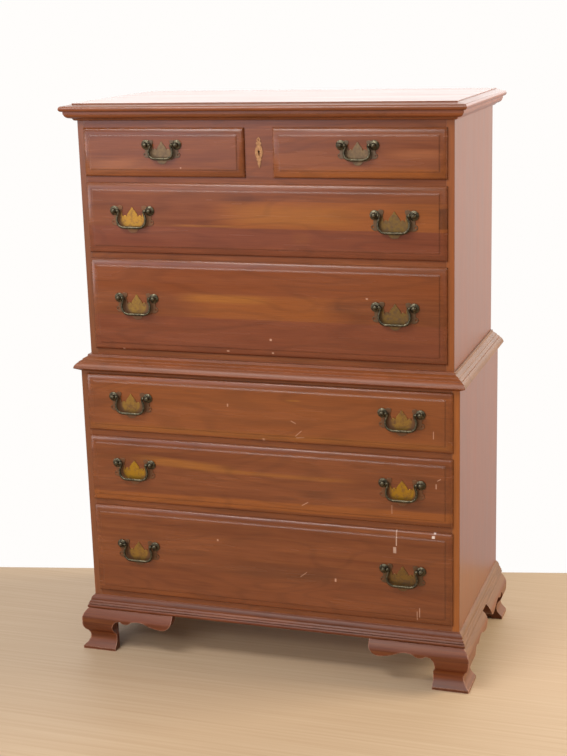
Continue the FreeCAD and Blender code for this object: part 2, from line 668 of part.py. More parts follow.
# ================================================================ pulls
# Right half of the pierced plate of a large pull, about the middle of its two posts.
PLATE_HALF = [(0, -53), (6.5, -52), (11, -48.5), (15, -43), (30, -39.5), (38, -34.5), (50, -34),
              (54.5, -28), (49.8, -21.5), (48.5, -16), (49.5, -6), (55, 2), (48, 10.5), (38, 9.5),
              (30, 12.5), (25, 11), (24, 6), (26.5, -3), (24.5, -15), (20, -10.5), (13.5, -14.5),
              (12, -7), (5.5, 1), (0, 9)]


def turned(x, field, z, profile, sides=TURNED_SIDES):
    """Turned part with flat sides and its axis square to the drawer front. profile is radius
    and distance out from the field, from one end to the other."""
    return skin([ring(vector(x, field - out, z), radius, sides, vector(1, 0, 0), vector(0, 0, 1))
                 for radius, out in profile])


def post(x, field, z):
    """Turned post: stem through the front, domed rose on the plate, neck and knob."""
    return turned(x, field, z, [
        (STEM_RADIUS, -CORE_BACK - NUT_THICK), (STEM_RADIUS, PLATE_THICK),
        (ROSE_RADIUS, PLATE_THICK), (ROSE_RADIUS, PLATE_THICK + ROSE_EDGE),
        (ROSE_SHOULDER, PLATE_THICK + ROSE_HEIGHT), (NECK_RADIUS, PLATE_THICK + NECK_HEIGHT),
        (KNOB_RADIUS, HINGE_HEIGHT), (KNOB_SHOULDER, HINGE_HEIGHT + KNOB_SHOULDER_RISE),
        (KNOB_TOP, HINGE_HEIGHT + KNOB_RADIUS)])


def pull_mount(centre, field, z, spacing):
    """Pierced plate, two posts bored for the bail, and the nuts inside the drawer."""
    scale = spacing / LARGE_SPACING
    outline = [(x * scale, up * scale) for x, up, *_ in both_halves(PLATE_HALF)]
    plate = prism(outline, lambda x, up: vector(centre + x, field - PLATE_THICK, z + up),
                  vector(0, PLATE_THICK, 0))
    solids = []
    for side in (-1, 1):
        x = centre + side * spacing / 2
        plate = plate.cut([
            turned(x, field, z, [(STEM_RADIUS, 0), (STEM_RADIUS, PLATE_THICK)]),
            turned(centre + side * PIERCING_OUT * scale, field, z - PIERCING_DROP * scale,
                   [(PIERCING_RADIUS * scale, 0), (PIERCING_RADIUS * scale, PLATE_THICK)])])
        bore = Part.makeCylinder(PIN_RADIUS + PIN_GAP, KNOB_RADIUS,
                                 vector(x - side * (KNOB_RADIUS - PIN_DEPTH - PIN_GAP),
                                        field - HINGE_HEIGHT, z), vector(-side, 0, 0))
        solids.append(post(x, field, z).cut(bore))
        reach = (-CORE_BACK - NUT_THICK, -CORE_BACK)
        nut = turned(x, field, z, [(NUT_RADIUS, out) for out in reach], NUT_SIDES)
        solids.append(nut.cut(turned(x, field, z, [(STEM_RADIUS, out) for out in reach])))
    return [plate] + solids


# Line of a bail from its neck to its grip: distance in from its widest part, and share of
# its drop.
BAIL_LINE = [(2.5, 0.04), (3.3, 0.18), (1.3, 0.45), (0, 0.68), (1.8, 0.87), (6.5, 0.98), (14, 1)]


def bail(centre, field, z, spacing, drop):
    """Swan-neck bail: a bar that swells from its necks to its grip, with a pin at each end."""
    knob = spacing / 2 - KNOB_RADIUS
    half = [(knob + PIN_DEPTH, 0), (knob - PIN_GAP, 0)]
    half += [(knob - BAIL_WIDEST_IN - inward, share) for inward, share in BAIL_LINE]
    path = half + [(-x, share) for x, share in reversed(half)]
    rings = []
    for number, (x, share) in enumerate(path):
        ahead = path[min(number + 1, len(path) - 1)]
        behind = path[max(number - 1, 0)]
        tangent = vector(ahead[0] - behind[0], 0, -drop * (ahead[1] - behind[1]))
        tangent.normalize()
        out = HINGE_HEIGHT + BAIL_BOW * share
        radius = BAIL_NECK_RADIUS + share * (BAIL_GRIP_RADIUS - BAIL_NECK_RADIUS)
        if not share:
            radius = PIN_RADIUS
        rings.append(ring(vector(centre + x, field - out, z - drop * share), radius, BAIL_SIDES,
                          tangent.cross(vector(0, 1, 0)), vector(0, 1, 0)))
    return skin(rings)


# ================================================================ the whole
def small_drawers(half):
    """The two drawers side by side at the top, each with one pull in its middle."""
    inner = STILE_SHOW / 2
    middle = (half + inner) / 2
    high = (UPPER_FRONT, SMALL_Z, SMALL_HEIGHT)
    return [Drawer("small_left_drawer", -half, -inner, *high, [-middle], SMALL_SPACING, SMALL_DROP),
            Drawer("small_right_drawer", inner, half, *high, [middle], SMALL_SPACING, SMALL_DROP)]


def long_drawer(name, half, front, inset, z0, height):
    """A drawer across the whole case, with a pull near each end."""
    pulls = [inset - half, half - inset]
    return Drawer(name, -half, half, front, z0, height, pulls, LARGE_SPACING, LARGE_DROP)


def all_drawers():
    upper = UPPER_WIDTH / 2 - EDGE_SHOW
    lower = LOWER_WIDTH / 2 - EDGE_SHOW
    above = (upper, UPPER_FRONT, UPPER_PULL_INSET)
    below = (lower, LOWER_FRONT, LOWER_PULL_INSET)
    return small_drawers(upper) + [
        long_drawer("upper_middle_drawer", *above, UPPER_MIDDLE_Z, UPPER_MIDDLE_HEIGHT),
        long_drawer("upper_bottom_drawer", *above, UPPER_BOTTOM_Z, UPPER_BOTTOM_HEIGHT),
        long_drawer("lower_top_drawer", *below, LOWER_TOP_Z, LOWER_TOP_HEIGHT),
        long_drawer("lower_middle_drawer", *below, LOWER_MIDDLE_Z, LOWER_MIDDLE_HEIGHT),
        long_drawer("lower_bottom_drawer", *below, LOWER_BOTTOM_Z, LOWER_BOTTOM_HEIGHT)]


def rail_between(drawer_z):
    """Rail under a drawer, from the opening below it to its own."""
    top = drawer_z + LIP_OVERLAP
    return (top - RAIL_THICK, top, RAIL_DEPTH)


def build_lower_case():
    first = LOWER_BOTTOM_Z + LIP_OVERLAP
    rails = [(FOOT_HEIGHT, first, TALL_RAIL_DEPTH), rail_between(LOWER_MIDDLE_Z),
             rail_between(LOWER_TOP_Z),
             (LOWER_TOP_Z + LOWER_TOP_HEIGHT - LIP_OVERLAP, LOWER_CASE_TOP, RAIL_DEPTH)]
    frames = [(first, TALL_RAIL_DEPTH, True), (rails[1][1], RAIL_DEPTH, True),
              (rails[2][1], RAIL_DEPTH, True), (LOWER_CASE_TOP, RAIL_DEPTH, True)]
    return build_case("lower", LOWER_WIDTH, LOWER_FRONT, FOOT_HEIGHT, LOWER_CASE_TOP, rails, frames)


def build_upper_case():
    first = UPPER_BOTTOM_Z + LIP_OVERLAP
    rails = [(LOWER_CASE_TOP, first, TALL_RAIL_DEPTH), rail_between(UPPER_MIDDLE_Z),
             rail_between(SMALL_Z),
             (SMALL_Z + SMALL_HEIGHT - LIP_OVERLAP, UPPER_CASE_TOP, TALL_RAIL_DEPTH)]
    frames = [(UPPER_CASE_TOP, TALL_RAIL_DEPTH, False), (first, TALL_RAIL_DEPTH, True),
              (rails[1][1], RAIL_DEPTH, True), (rails[2][1], RAIL_DEPTH, True)]
    stile = build_stile()
    return build_case("upper", UPPER_WIDTH, UPPER_FRONT, LOWER_CASE_TOP, UPPER_CASE_TOP, rails,
                      frames, stile)


def main():
    os.makedirs("parts", exist_ok=True)
    save("dust_panels", build_lower_case() + build_upper_case())
    build_mouldings()
    build_top()
    build_feet()
    for drawer in all_drawers():
        drawer.build()


main()
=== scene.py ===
"""Looks of the chest on chest: varnished cherry case work, aged brass pulls, studio and camera.

Metres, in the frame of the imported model: +Z up, the drawers face -Y, origin on the floor.
Sizes in the classes are millimetres unless their comment says otherwise.
"""
import json
import logging
import math
from dataclasses import dataclass, replace
from enum import Enum

import bmesh
import bpy
from mathutils import Matrix, Vector


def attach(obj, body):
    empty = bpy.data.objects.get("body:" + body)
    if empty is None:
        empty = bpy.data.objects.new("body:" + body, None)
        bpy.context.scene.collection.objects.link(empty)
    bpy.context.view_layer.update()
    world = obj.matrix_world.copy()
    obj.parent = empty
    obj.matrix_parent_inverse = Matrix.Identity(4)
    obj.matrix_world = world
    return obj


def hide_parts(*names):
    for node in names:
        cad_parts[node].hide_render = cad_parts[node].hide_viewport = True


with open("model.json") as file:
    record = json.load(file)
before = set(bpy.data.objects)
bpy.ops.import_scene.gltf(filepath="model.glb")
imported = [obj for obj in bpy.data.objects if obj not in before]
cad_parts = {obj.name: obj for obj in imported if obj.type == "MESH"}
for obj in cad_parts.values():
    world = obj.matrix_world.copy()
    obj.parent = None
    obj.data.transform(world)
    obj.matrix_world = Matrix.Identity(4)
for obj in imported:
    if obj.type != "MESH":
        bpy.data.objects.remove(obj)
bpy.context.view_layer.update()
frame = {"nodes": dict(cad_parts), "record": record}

MM = 0.001
FULL_TURN = 2 * math.pi
LOG = logging.getLogger("chest_on_chest")
Socket = bpy.types.NodeSocket
Tree = bpy.types.NodeTree
Place = tuple[float, float, float]
Point = tuple[float, float]
Span = tuple[float, float]


# ---------------------------------------------------------------- small helpers
def linear(hex_colour: str) -> tuple[float, float, float, float]:
    """Turns an sRGB hex colour into linear red, green, blue and an alpha of 1.

    Args:
        hex_colour: Six hex digits with a leading #.

    Returns:
        The colour as Blender's sockets take it.
    """
    channels = [int(hex_colour[i:i + 2], 16) / 255 for i in (1, 3, 5)]
    curve = [c / 12.92 if c <= 0.04045 else ((c + 0.055) / 1.055) ** 2.4 for c in channels]
    return (*curve, 1.0)


def add_node(tree: Tree, kind: str, settings: dict | None = None,
             values: dict | None = None, links: dict | None = None) -> bpy.types.Node:
    """Adds one node with its settings, socket values and incoming links.

    Args:
        tree: The tree that takes the node.
        kind: Blender's name for the type of node.
        settings: Attributes of the node itself.
        values: Input sockets, by name or number, with constants.
        links: Input sockets, by name or number, with the output sockets that feed them.

    Returns:
        The new node.
    """
    node = tree.nodes.new(kind)
    for name, value in (settings or {}).items():
        setattr(node, name, value)
    for socket, value in (values or {}).items():
        node.inputs[socket].default_value = value
    for socket, source in (links or {}).items():
        tree.links.new(source, node.inputs[socket])
    return node


def blank_material(name: str) -> tuple[bpy.types.Material, Tree, bpy.types.Node]:
    """Makes a material with nodes.

    Args:
        name: The material's name.

    Returns:
        The material, its tree and its shader.
    """
    material = bpy.data.materials.new(name)
    material.use_nodes = True
    return material, material.node_tree, material.node_tree.nodes["Principled BSDF"]


def new_object(name: str, data: bpy.types.ID) -> bpy.types.Object:
    """Links a mesh, curve, lamp or camera into the scene as an object at the origin.

    Args:
        name: The object's name.
        data: What it shows.

    Returns:
        The object.
    """
    item = bpy.data.objects.new(name, data)
    bpy.context.scene.collection.objects.link(item)
    return item


def evaluated_mesh(item: bpy.types.Object) -> bpy.types.Mesh:
    """Turns an object with its modifiers into a plain mesh and deletes the object.

    Args:
        item: The object.

    Returns:
        Its mesh.
    """
    graph = bpy.context.evaluated_depsgraph_get()
    mesh = bpy.data.meshes.new_from_object(item.evaluated_get(graph))
    bpy.data.objects.remove(item)
    return mesh


def written_mesh(work: bmesh.types.BMesh, name: str) -> bpy.types.Mesh:
    """Writes a work mesh out under a name and frees it.

    Args:
        work: The work mesh.
        name: Name of the new mesh.

    Returns:
        The new mesh.
    """
    mesh = bpy.data.meshes.new(name)
    work.to_mesh(mesh)
    work.free()
    return mesh


def smooth_by_angle(mesh: bpy.types.Mesh, degrees: float) -> None:
    """Shades a mesh smooth but keeps edges that turn further than an angle sharp."""
    mesh.shade_smooth()
    mesh.set_sharp_from_angle(angle=math.radians(degrees))


def put_at(mesh: bpy.types.Mesh, x: float, y: float, z: float) -> None:
    """Moves a mesh to a place in millimetres."""
    mesh.transform(Matrix.Translation((x * MM, y * MM, z * MM)))


def finished_piece(name: str, mesh: bpy.types.Mesh, body: str, material: bpy.types.Material | None,
                   replaced: tuple[str, ...] = ()) -> None:
    """Makes one visible piece and declares what it rides on, stands for and is made of.

    Args:
        name: The piece's name.
        mesh: Its mesh, in place in the row frame.
        body: The moving body that carries it.
        material: Its finish, or None where the mesh already has one.
        replaced: CAD nodes that it stands for.
    """
    item = new_object(name, mesh)
    if material is not None:
        mesh.materials.clear()
        mesh.materials.append(material)
    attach(item, body)
    if replaced:
        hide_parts(*replaced)
    LOG.info("piece %s on %s", name, body)


# ---------------------------------------------------------------- outlines
SHEET_MAP = "sheet"             # flat map of a stamped sheet, in metres
CORNER_SHARE = 0.25             # share of each side that a rounded corner takes
SHEET_EDGE_STEPS = 2
WELD_MM = 0.005                 # vertices nearer than this on a turned part are one
STEPS_PER_BEND = 4


def mirrored(half: tuple[tuple, ...]) -> list[tuple]:
    """Closes a right half, from its foot to its head on the middle line, with its mirror image."""
    return list(half) + [(-x, *rest) for x, *rest in reversed(half[1:-1])]


def softened(loop: list[tuple], rounds: int = 2) -> list[Point]:
    """Rounds the corners of a closed outline but keeps its cusps.

    Args:
        loop: Points (x, z), or (x, z, True) for a cusp that stays sharp.
        rounds: How often the corners are cut.

    Returns:
        The rounded outline.
    """
    points = [(x, z, bool(cusp and cusp[0])) for x, z, *cusp in loop]
    for _ in range(rounds):
        cut: list[tuple] = []
        for number, (x, z, cusp) in enumerate(points):
            if cusp:
                cut.append((x, z, True))
                continue
            for other in (points[number - 1], points[(number + 1) % len(points)]):
                cut.append((x + CORNER_SHARE * (other[0] - x),
                            z + CORNER_SHARE * (other[1] - z), False))
        points = cut
    return [(x, z) for x, z, _ in points]


def arc(x: float, z: float, radius: float, start: float, sweep: float, steps: int) -> list[Point]:
    """Walks round part of a circle.

    Args:
        x: Its middle across.
        z: Its middle in height.
        radius: Its radius.
        start: Angle of the first point from +x, in radians.
        sweep: Angle walked, in radians.
        steps: Number of steps.

    Returns:
        One point more than there are steps.
    """
    turns = [start + sweep * i / steps for i in range(steps + 1)]
    return [(x + radius * math.cos(a), z + radius * math.sin(a)) for a in turns]


def circle(x: float, z: float, radius: float, sides: int = 16) -> list[Point]:
    """Round hole as a closed outline."""
    return arc(x, z, radius, 0.0, FULL_TURN, sides)[:-1]


def stamped_sheet(name: str, loops: list[list[Point]], thick: float, edge: float) -> bpy.types.Mesh:
    """Cuts a flat sheet to an outline with holes and rounds its edges.

    Args:
        name: Name of the mesh.
        loops: The outline, then its holes.
        thick: Thickness.
        edge: Radius of the rounded edges.

    Returns:
        A mesh that lies in the x-z plane with its back at y = 0 and its face towards -y.
    """
    curve = bpy.data.curves.new(name, "CURVE")
    curve.dimensions = "2D"
    curve.fill_mode = "BOTH"
    curve.extrude = (thick / 2 - edge) * MM
    curve.bevel_depth = edge * MM
    curve.bevel_resolution = SHEET_EDGE_STEPS
    curve.offset = -edge * MM
    for loop in loops:
        spline = curve.splines.new("POLY")
        spline.points.add(len(loop) - 1)
        for point, (x, z) in zip(spline.points, loop):
            point.co = (x * MM, z * MM, 0.0, 1.0)
        spline.use_cyclic_u = True
    mesh = evaluated_mesh(new_object(name, curve))
    for layer in list(mesh.uv_layers):
        mesh.uv_layers.remove(layer)
    sheet = mesh.uv_layers.new(name=SHEET_MAP)
    for loop in mesh.loops:
        x, z, _ = mesh.vertices[loop.vertex_index].co
        sheet.data[loop.index].uv = (x, z)
    mesh.transform(Matrix.Rotation(math.pi / 2, 4, "X"))
    put_at(mesh, 0.0, -thick / 2, 0.0)
    return mesh


def turned_part(name: str, profile: tuple[Point, ...], sides: int) -> bpy.types.Mesh:
    """Spins a profile about the y axis.

    Args:
        name: Name of the mesh.
        profile: Points (radius, distance out towards -y).
        sides: Number of steps round the axis.

    Returns:
        A closed mesh with its field plane at y = 0.
    """
    work = bmesh.new()
    chain = [work.verts.new((radius * MM, -out * MM, 0)) for radius, out in profile]
    edges = [work.edges.new(pair) for pair in zip(chain, chain[1:])]
    bmesh.ops.spin(work, geom=chain + edges, axis=(0, 1, 0), cent=(0, 0, 0),
                   angle=FULL_TURN, steps=sides)
    bmesh.ops.remove_doubles(work, verts=work.verts[:], dist=WELD_MM * MM)
    bmesh.ops.recalc_face_normals(work, faces=work.faces[:])
    return written_mesh(work, name)


def smooth_line(points: list[tuple[float, ...]]) -> list[tuple[float, ...]]:
    """Draws a smooth line through points, by a cubic between each two that heeds the next ones.

    Args:
        points: Points of any number of coordinates.

    Returns:
        The points of the smooth line, ends included.
    """
    line = []
    for number in range(len(points) - 1):
        p0, p1 = points[max(number - 1, 0)], points[number]
        p2, p3 = points[number + 1], points[min(number + 2, len(points) - 1)]
        for step in range(STEPS_PER_BEND):
            t = step / STEPS_PER_BEND
            line.append(tuple(
                0.5 * (2 * b + (c - a) * t + (2 * a - 5 * b + 4 * c - d) * t ** 2
                       + (3 * b - a - 3 * c + d) * t ** 3)
                for a, b, c, d in zip(p0, p1, p2, p3)))
    line.append(points[-1])
    return line


def swept_bar(name: str, path: list[tuple[float, float, float, float]],
              sides: int) -> bpy.types.Mesh:
    """Sweeps a round section along a line.

    Args:
        name: Name of the mesh.
        path: Points (x, y, z, radius).
        sides: Number of sides of the section.

    Returns:
        A closed mesh in metres.
    """
    work = bmesh.new()
    rings = []
    for number, (*place, radius) in enumerate(path):
        ahead = Vector(path[min(number + 1, len(path) - 1)][:3])
        behind = Vector(path[max(number - 1, 0)][:3])
        along = (ahead - behind).normalized()
        up = Vector((0, 1, 0)).cross(along).normalized()
        out = along.cross(up)
        section = [up * c + out * s for c, s in circle(0.0, 0.0, 1.0, sides)]
        rings.append([work.verts.new((Vector(place) + radius * ray) * MM) for ray in section])
    for first, second in zip(rings, rings[1:]):
        for i in range(sides):
            j = (i + 1) % sides
            work.faces.new((first[i], first[j], second[j], second[i]))
    work.faces.new(rings[0])
    work.faces.new(rings[-1])
    bmesh.ops.recalc_face_normals(work, faces=work.faces[:])
    return written_mesh(work, name)


# ---------------------------------------------------------------- finishes
BEVEL_SAMPLES = 4               # rays by which a shader finds an edge


class Grain(Enum):
    """Direction of a board's grain in the row frame."""

    ACROSS = 0
    DEEP = 1
    UPRIGHT = 2
    ROUND = 3       # follows a moulding: across on the front, deep on the sides


@dataclass(frozen=True)
class Figure:
    """Noise drawn out along the grain, which real wood shows as clouds, streaks or pores."""

    long_mm: float
    wide_mm: float
    shift: float = 0.0              # sets it apart from the other figures
    detail: float = 4.0
    bend: float = 0.0
    span: Span = (0.3, 0.7)         # noise levels between which it fades in
    harsh: float = 0.58             # share of the fine detail

    def coordinates(self, tree: Tree, place: Socket, axis: int, seed: float) -> Socket:
        """Scales coordinates so that one unit is one feature, long along one axis.

        Args:
            tree: The material's tree.
            place: Object coordinates in metres.
            axis: Number of the axis that the grain follows.
            seed: Shift of the whole board's figure.

        Returns:
            The scaled coordinates.
        """
        scale = [1.0 / (self.wide_mm * MM)] * 3
        scale[axis] = 1.0 / (self.long_mm * MM)
        mapping = add_node(tree, "ShaderNodeMapping",
                           values={"Location": [self.shift + seed] * 3, "Scale": scale},
                           links={"Vector": place})
        return mapping.outputs["Vector"]

    def noise(self, tree: Tree, coordinates: Socket) -> Socket:
        """Draws the noise.

        Args:
            tree: The material's tree.
            coordinates: Scaled coordinates.

        Returns:
            The noise, about 0.5.
        """
        node = add_node(tree, "ShaderNodeTexNoise", None,
                        {"Scale": 1.0, "Detail": self.detail, "Roughness": self.harsh,
                         "Distortion": self.bend}, {"Vector": coordinates})
        return node.outputs["Fac"]

    def faded(self, tree: Tree, noise: Socket, to: Span = (0.0, 1.0)) -> Socket:
        """Maps what lies between the figure's own levels to other values, clamped.

        Args:
            tree: The material's tree.
            noise: The figure's noise, or what was made from it.
            to: Values at the lower and at the upper level.

        Returns:
            The mapped value.
        """
        low, high = self.span
        node = add_node(tree, "ShaderNodeMapRange", None, {1: low, 2: high, 3: to[0], 4: to[1]},
                        {0: noise})
        return node.outputs["Result"]


@dataclass(frozen=True)
class BoardTone:
    """A board, streak, worn mark or painted sheen of another tone on an upright face."""

    colour: str
    x: Span
    z: Span
    soft: Span = (40.0, 8.0)        # softness of its ends and of its long edges
    share: float = 0.8
    wander: float = 10.0            # how far its edges follow the figure
    tilt: float = 0.0               # rise per length
    sides_only: bool = False        # True leaves the front run of a moulding alone

    def mask(self, tree: Tree, x: Socket, z: Socket, clouds: Socket) -> Socket:
        """Makes the tone's mask.

        Args:
            tree: The material's tree.
            x: Place across in metres.
            z: Height in metres.
            clouds: Figure of the wood about 0, which bends the long edges.

        Returns:
            A mask from 0 to the tone's share.
        """
        bent = add_node(tree, "ShaderNodeMath", {"operation": "MULTIPLY_ADD"},
                        {1: self.wander * MM}, {0: clouds, 2: z})
        height = add_node(tree, "ShaderNodeMath", {"operation": "MULTIPLY_ADD"},
                          {1: -self.tilt}, {0: x, 2: bent.outputs[0]})
        whole = add_node(tree, "ShaderNodeValue").outputs[0]
        whole.default_value = self.share
        for value, span, soft in ((x, self.x, self.soft[0]),
                                  (height.outputs[0], self.z, self.soft[1])):
            for at, before, after in ((span[0], 0.0, 1.0), (span[1], 1.0, 0.0)):
                step = add_node(tree, "ShaderNodeMapRange", {"interpolation_type": "SMOOTHSTEP"},
                                {1: (at - soft) * MM, 2: (at + soft) * MM, 3: before, 4: after},
                                {0: value})
                whole = add_node(tree, "ShaderNodeMath", {"operation": "MULTIPLY"}, None,
                                 {0: whole, 1: step.outputs["Result"]}).outputs[0]
        return whole


def worn_spot(x: float, z: float, long: float, high: float, tilt: float = 0.0,
              colour: str = "#D9A98C", share: float = 0.6) -> BoardTone:
    """Chip or scratch that shows the pale wood under the varnish.

    Args:
        x: Middle of the mark in millimetres.
        z: Its height in millimetres.
        long: Length across in millimetres.
        high: Height in millimetres.
        tilt: Rise per length.
        colour: What shows.
        share: How strongly it shows.

    Returns:
        The mark as a small tone.
    """
    crisp = (0.8, 0.6)
    foot = z - tilt * x
    return BoardTone(colour, (x - long / 2, x + long / 2), (foot - high / 2, foot + high / 2),
                     crisp, share, 0.0, tilt)


@dataclass(frozen=True)
class Cherry:
    """American cherry under a red-brown wiping stain and satin varnish.

    The stain evens the colour, so the eye sees long soft streaks, a faint flame figure and dark
    pores, with a varnish gloss that is broad rather than sharp, and pale wood where edges rub.
    """

    name: str
    light: str
    deep: str
    streak: str
    grain: Grain
    tones: tuple[BoardTone, ...] = ()
    clouds: Figure = Figure(420.0, 30.0, 3.1, 3.0, 0.4)
    streaks: Figure = Figure(340.0, 10.0, 7.7, 4.0, 0.25, (0.5, 0.74))
    nest: Figure = Figure(460.0, 80.0, 5.3, 1.0, 0.6, (0.2, 1.0))      # its contours are the flame
    pores: Figure = Figure(70.0, 2.4, 1.9, 2.0, 0.0, (0.35, 0.7))      # coarse enough to show
    streak_share: float = 0.4
    flame_rings: float = 46.0               # phase across one nest, so about seven rings
    flame_depth: float = 0.12               # how much darker a ring is
    pore_shades: Span = (0.87, 1.06)        # brightness in a pore and beside it
    ior: float = 1.5
    varnish: float = 0.5                    # strength of the varnish's reflection
    roughness: float = 0.24
    gloss_spread: Span = (-0.04, 0.07)      # how far the clouds make it glossier and duller
    gloss_levels: Span = (0.2, 0.8)         # levels of the clouds where it is so
    relief_depth: float = 0.1
    relief_mm: float = 0.2
    edge_mm: float = 0.8                    # radius that the eye takes an edge to have
    worn: float = 0.12                      # how pale its rubbed edges are
    worn_colour: str = "#B98A72"
    worn_mm: float = 1.6                    # width of a rubbed edge
    worn_turn: Span = (0.99, 0.86)          # cosine of an edge's turn where rubbing starts, is full
    patch_mm: float = 14.0                  # size of a rubbed patch
    patch_levels: Span = (0.4, 0.54)        # noise levels between which it fades in
    seed: float = 0.0

    def side_mask(self, tree: Tree) -> Socket:
        """Tells the side runs of a moulding from its front run.

        Args:
            tree: The material's tree.

        Returns:
            1 on faces that look left or right and 0 on those that look front or back.
        """
        normal = add_node(tree, "ShaderNodeNewGeometry").outputs["Normal"]
        size = add_node(tree, "ShaderNodeVectorMath", {"operation": "ABSOLUTE"}, None, {0: normal})
        parts = add_node(tree, "ShaderNodeSeparateXYZ", links={"Vector": size.outputs["Vector"]})
        side = add_node(tree, "ShaderNodeMath", {"operation": "GREATER_THAN"}, None,
                        {0: parts.outputs["X"], 1: parts.outputs["Y"]})
        return side.outputs[0]

    def drawn(self, tree: Tree, place: Socket, figure: Figure) -> Socket:
        """Draws one figure along the grain.

        Args:
            tree: The material's tree.
            place: Object coordinates in metres.
            figure: The figure.

        Returns:
            Its noise.
        """
        if self.grain is not Grain.ROUND:
            along = figure.coordinates(tree, place, self.grain.value, self.seed)
            return figure.noise(tree, along)
        front = figure.coordinates(tree, place, Grain.ACROSS.value, self.seed)
        side = figure.coordinates(tree, place, Grain.DEEP.value, self.seed)
        chosen = add_node(tree, "ShaderNodeMix", {"data_type": "VECTOR"}, None,
                          {0: self.side_mask(tree), 4: front, 5: side})
        return figure.noise(tree, chosen.outputs[1])

    def ground(self, tree: Tree, place: Socket, clouds: Socket) -> Socket:
        """Gives the stained colour with its streaks, before tones and lines.

        Args:
            tree: The material's tree.
            place: Object coordinates in metres.
            clouds: Noise of the clouds.

        Returns:
            The colour.
        """
        base = add_node(tree, "ShaderNodeMix", {"data_type": "RGBA"},
                        {6: linear(self.deep), 7: linear(self.light)},
                        {0: self.clouds.faded(tree, clouds)})
        streaks = self.drawn(tree, place, self.streaks)
        return add_node(tree, "ShaderNodeMix", {"data_type": "RGBA"}, {7: linear(self.streak)},
                        {0: self.streaks.faded(tree, streaks, (0.0, self.streak_share)),
                         6: base.outputs[2]}).outputs[2]

    def with_tones(self, tree: Tree, place: Socket, clouds: Socket, colour: Socket) -> Socket:
        """Lays the boards, streaks, marks and painted sheen of other tones over the colour.

        Args:
            tree: The material's tree.
            place: Object coordinates in metres.
            clouds: Noise of the clouds.
            colour: The colour so far.

        Returns:
            The colour with its tones.
        """
        parts = add_node(tree, "ShaderNodeSeparateXYZ", links={"Vector": place})
        centred = add_node(tree, "ShaderNodeMath", {"operation": "SUBTRACT"}, {1: 0.5}, {0: clouds})
        for tone in self.tones:
            mask = tone.mask(tree, parts.outputs["X"], parts.outputs["Z"], centred.outputs[0])
            if tone.sides_only:
                mask = add_node(tree, "ShaderNodeMath", {"operation": "MULTIPLY"}, None,
                                {0: mask, 1: self.side_mask(tree)}).outputs[0]
            colour = add_node(tree, "ShaderNodeMix", {"data_type": "RGBA"},
                              {7: linear(tone.colour)}, {0: mask, 6: colour}).outputs[2]
        return colour

    def with_lines(self, tree: Tree, place: Socket, pores: Socket, colour: Socket) -> Socket:
        """Darkens the colour along the flame's rings and the pores.

        Args:
            tree: The material's tree.
            place: Object coordinates in metres.
            pores: Noise of the pores.
            colour: The colour so far.

        Returns:
            The colour with its lines.
        """
        phase = add_node(tree, "ShaderNodeMath", {"operation": "MULTIPLY"}, {1: self.flame_rings},
                         {0: self.drawn(tree, place, self.nest)})
        ring = add_node(tree, "ShaderNodeMath", {"operation": "SINE"}, None, {0: phase.outputs[0]})
        flame = self.nest.faded(tree, ring.outputs[0], (1.0, 1.0 - self.flame_depth))
        shade = add_node(tree, "ShaderNodeMath", {"operation": "MULTIPLY"}, None,
                         {0: flame, 1: self.pores.faded(tree, pores, self.pore_shades)})
        lined = add_node(tree, "ShaderNodeVectorMath", {"operation": "SCALE"}, None,
                         {0: colour, "Scale": shade.outputs[0]})
        return lined.outputs["Vector"]

    def with_worn_edges(self, tree: Tree, place: Socket, colour: Socket) -> Socket:
        """Rubs the stain off sharp edges in patches.

        Args:
            tree: The material's tree.
            place: Object coordinates in metres.
            colour: The stained colour.

        Returns:
            The colour with paler edges.
        """
        wide = add_node(tree, "ShaderNodeBevel", {"samples": BEVEL_SAMPLES},
                        {"Radius": self.worn_mm * MM})
        normal = add_node(tree, "ShaderNodeNewGeometry").outputs["Normal"]
        turned = add_node(tree, "ShaderNodeVectorMath", {"operation": "DOT_PRODUCT"}, None,
                          {0: wide.outputs["Normal"], 1: normal})
        flat, sharp = self.worn_turn
        edge = add_node(tree, "ShaderNodeMapRange", None, {1: flat, 2: sharp, 4: self.worn},
                        {0: turned.outputs["Value"]})
        noise = add_node(tree, "ShaderNodeTexNoise", None,
                         {"Scale": 1 / (self.patch_mm * MM), "Detail": 5.0, "Roughness": 0.7},
                         {"Vector": place})
        low, high = self.patch_levels
        patches = add_node(tree, "ShaderNodeMapRange", None, {1: low, 2: high},
                           {0: noise.outputs["Fac"]})
        mask = add_node(tree, "ShaderNodeMath", {"operation": "MULTIPLY"}, None,
                        {0: edge.outputs["Result"], 1: patches.outputs["Result"]})
        return add_node(tree, "ShaderNodeMix", {"data_type": "RGBA"},
                        {7: linear(self.worn_colour)},
                        {0: mask.outputs[0], 6: colour}).outputs[2]

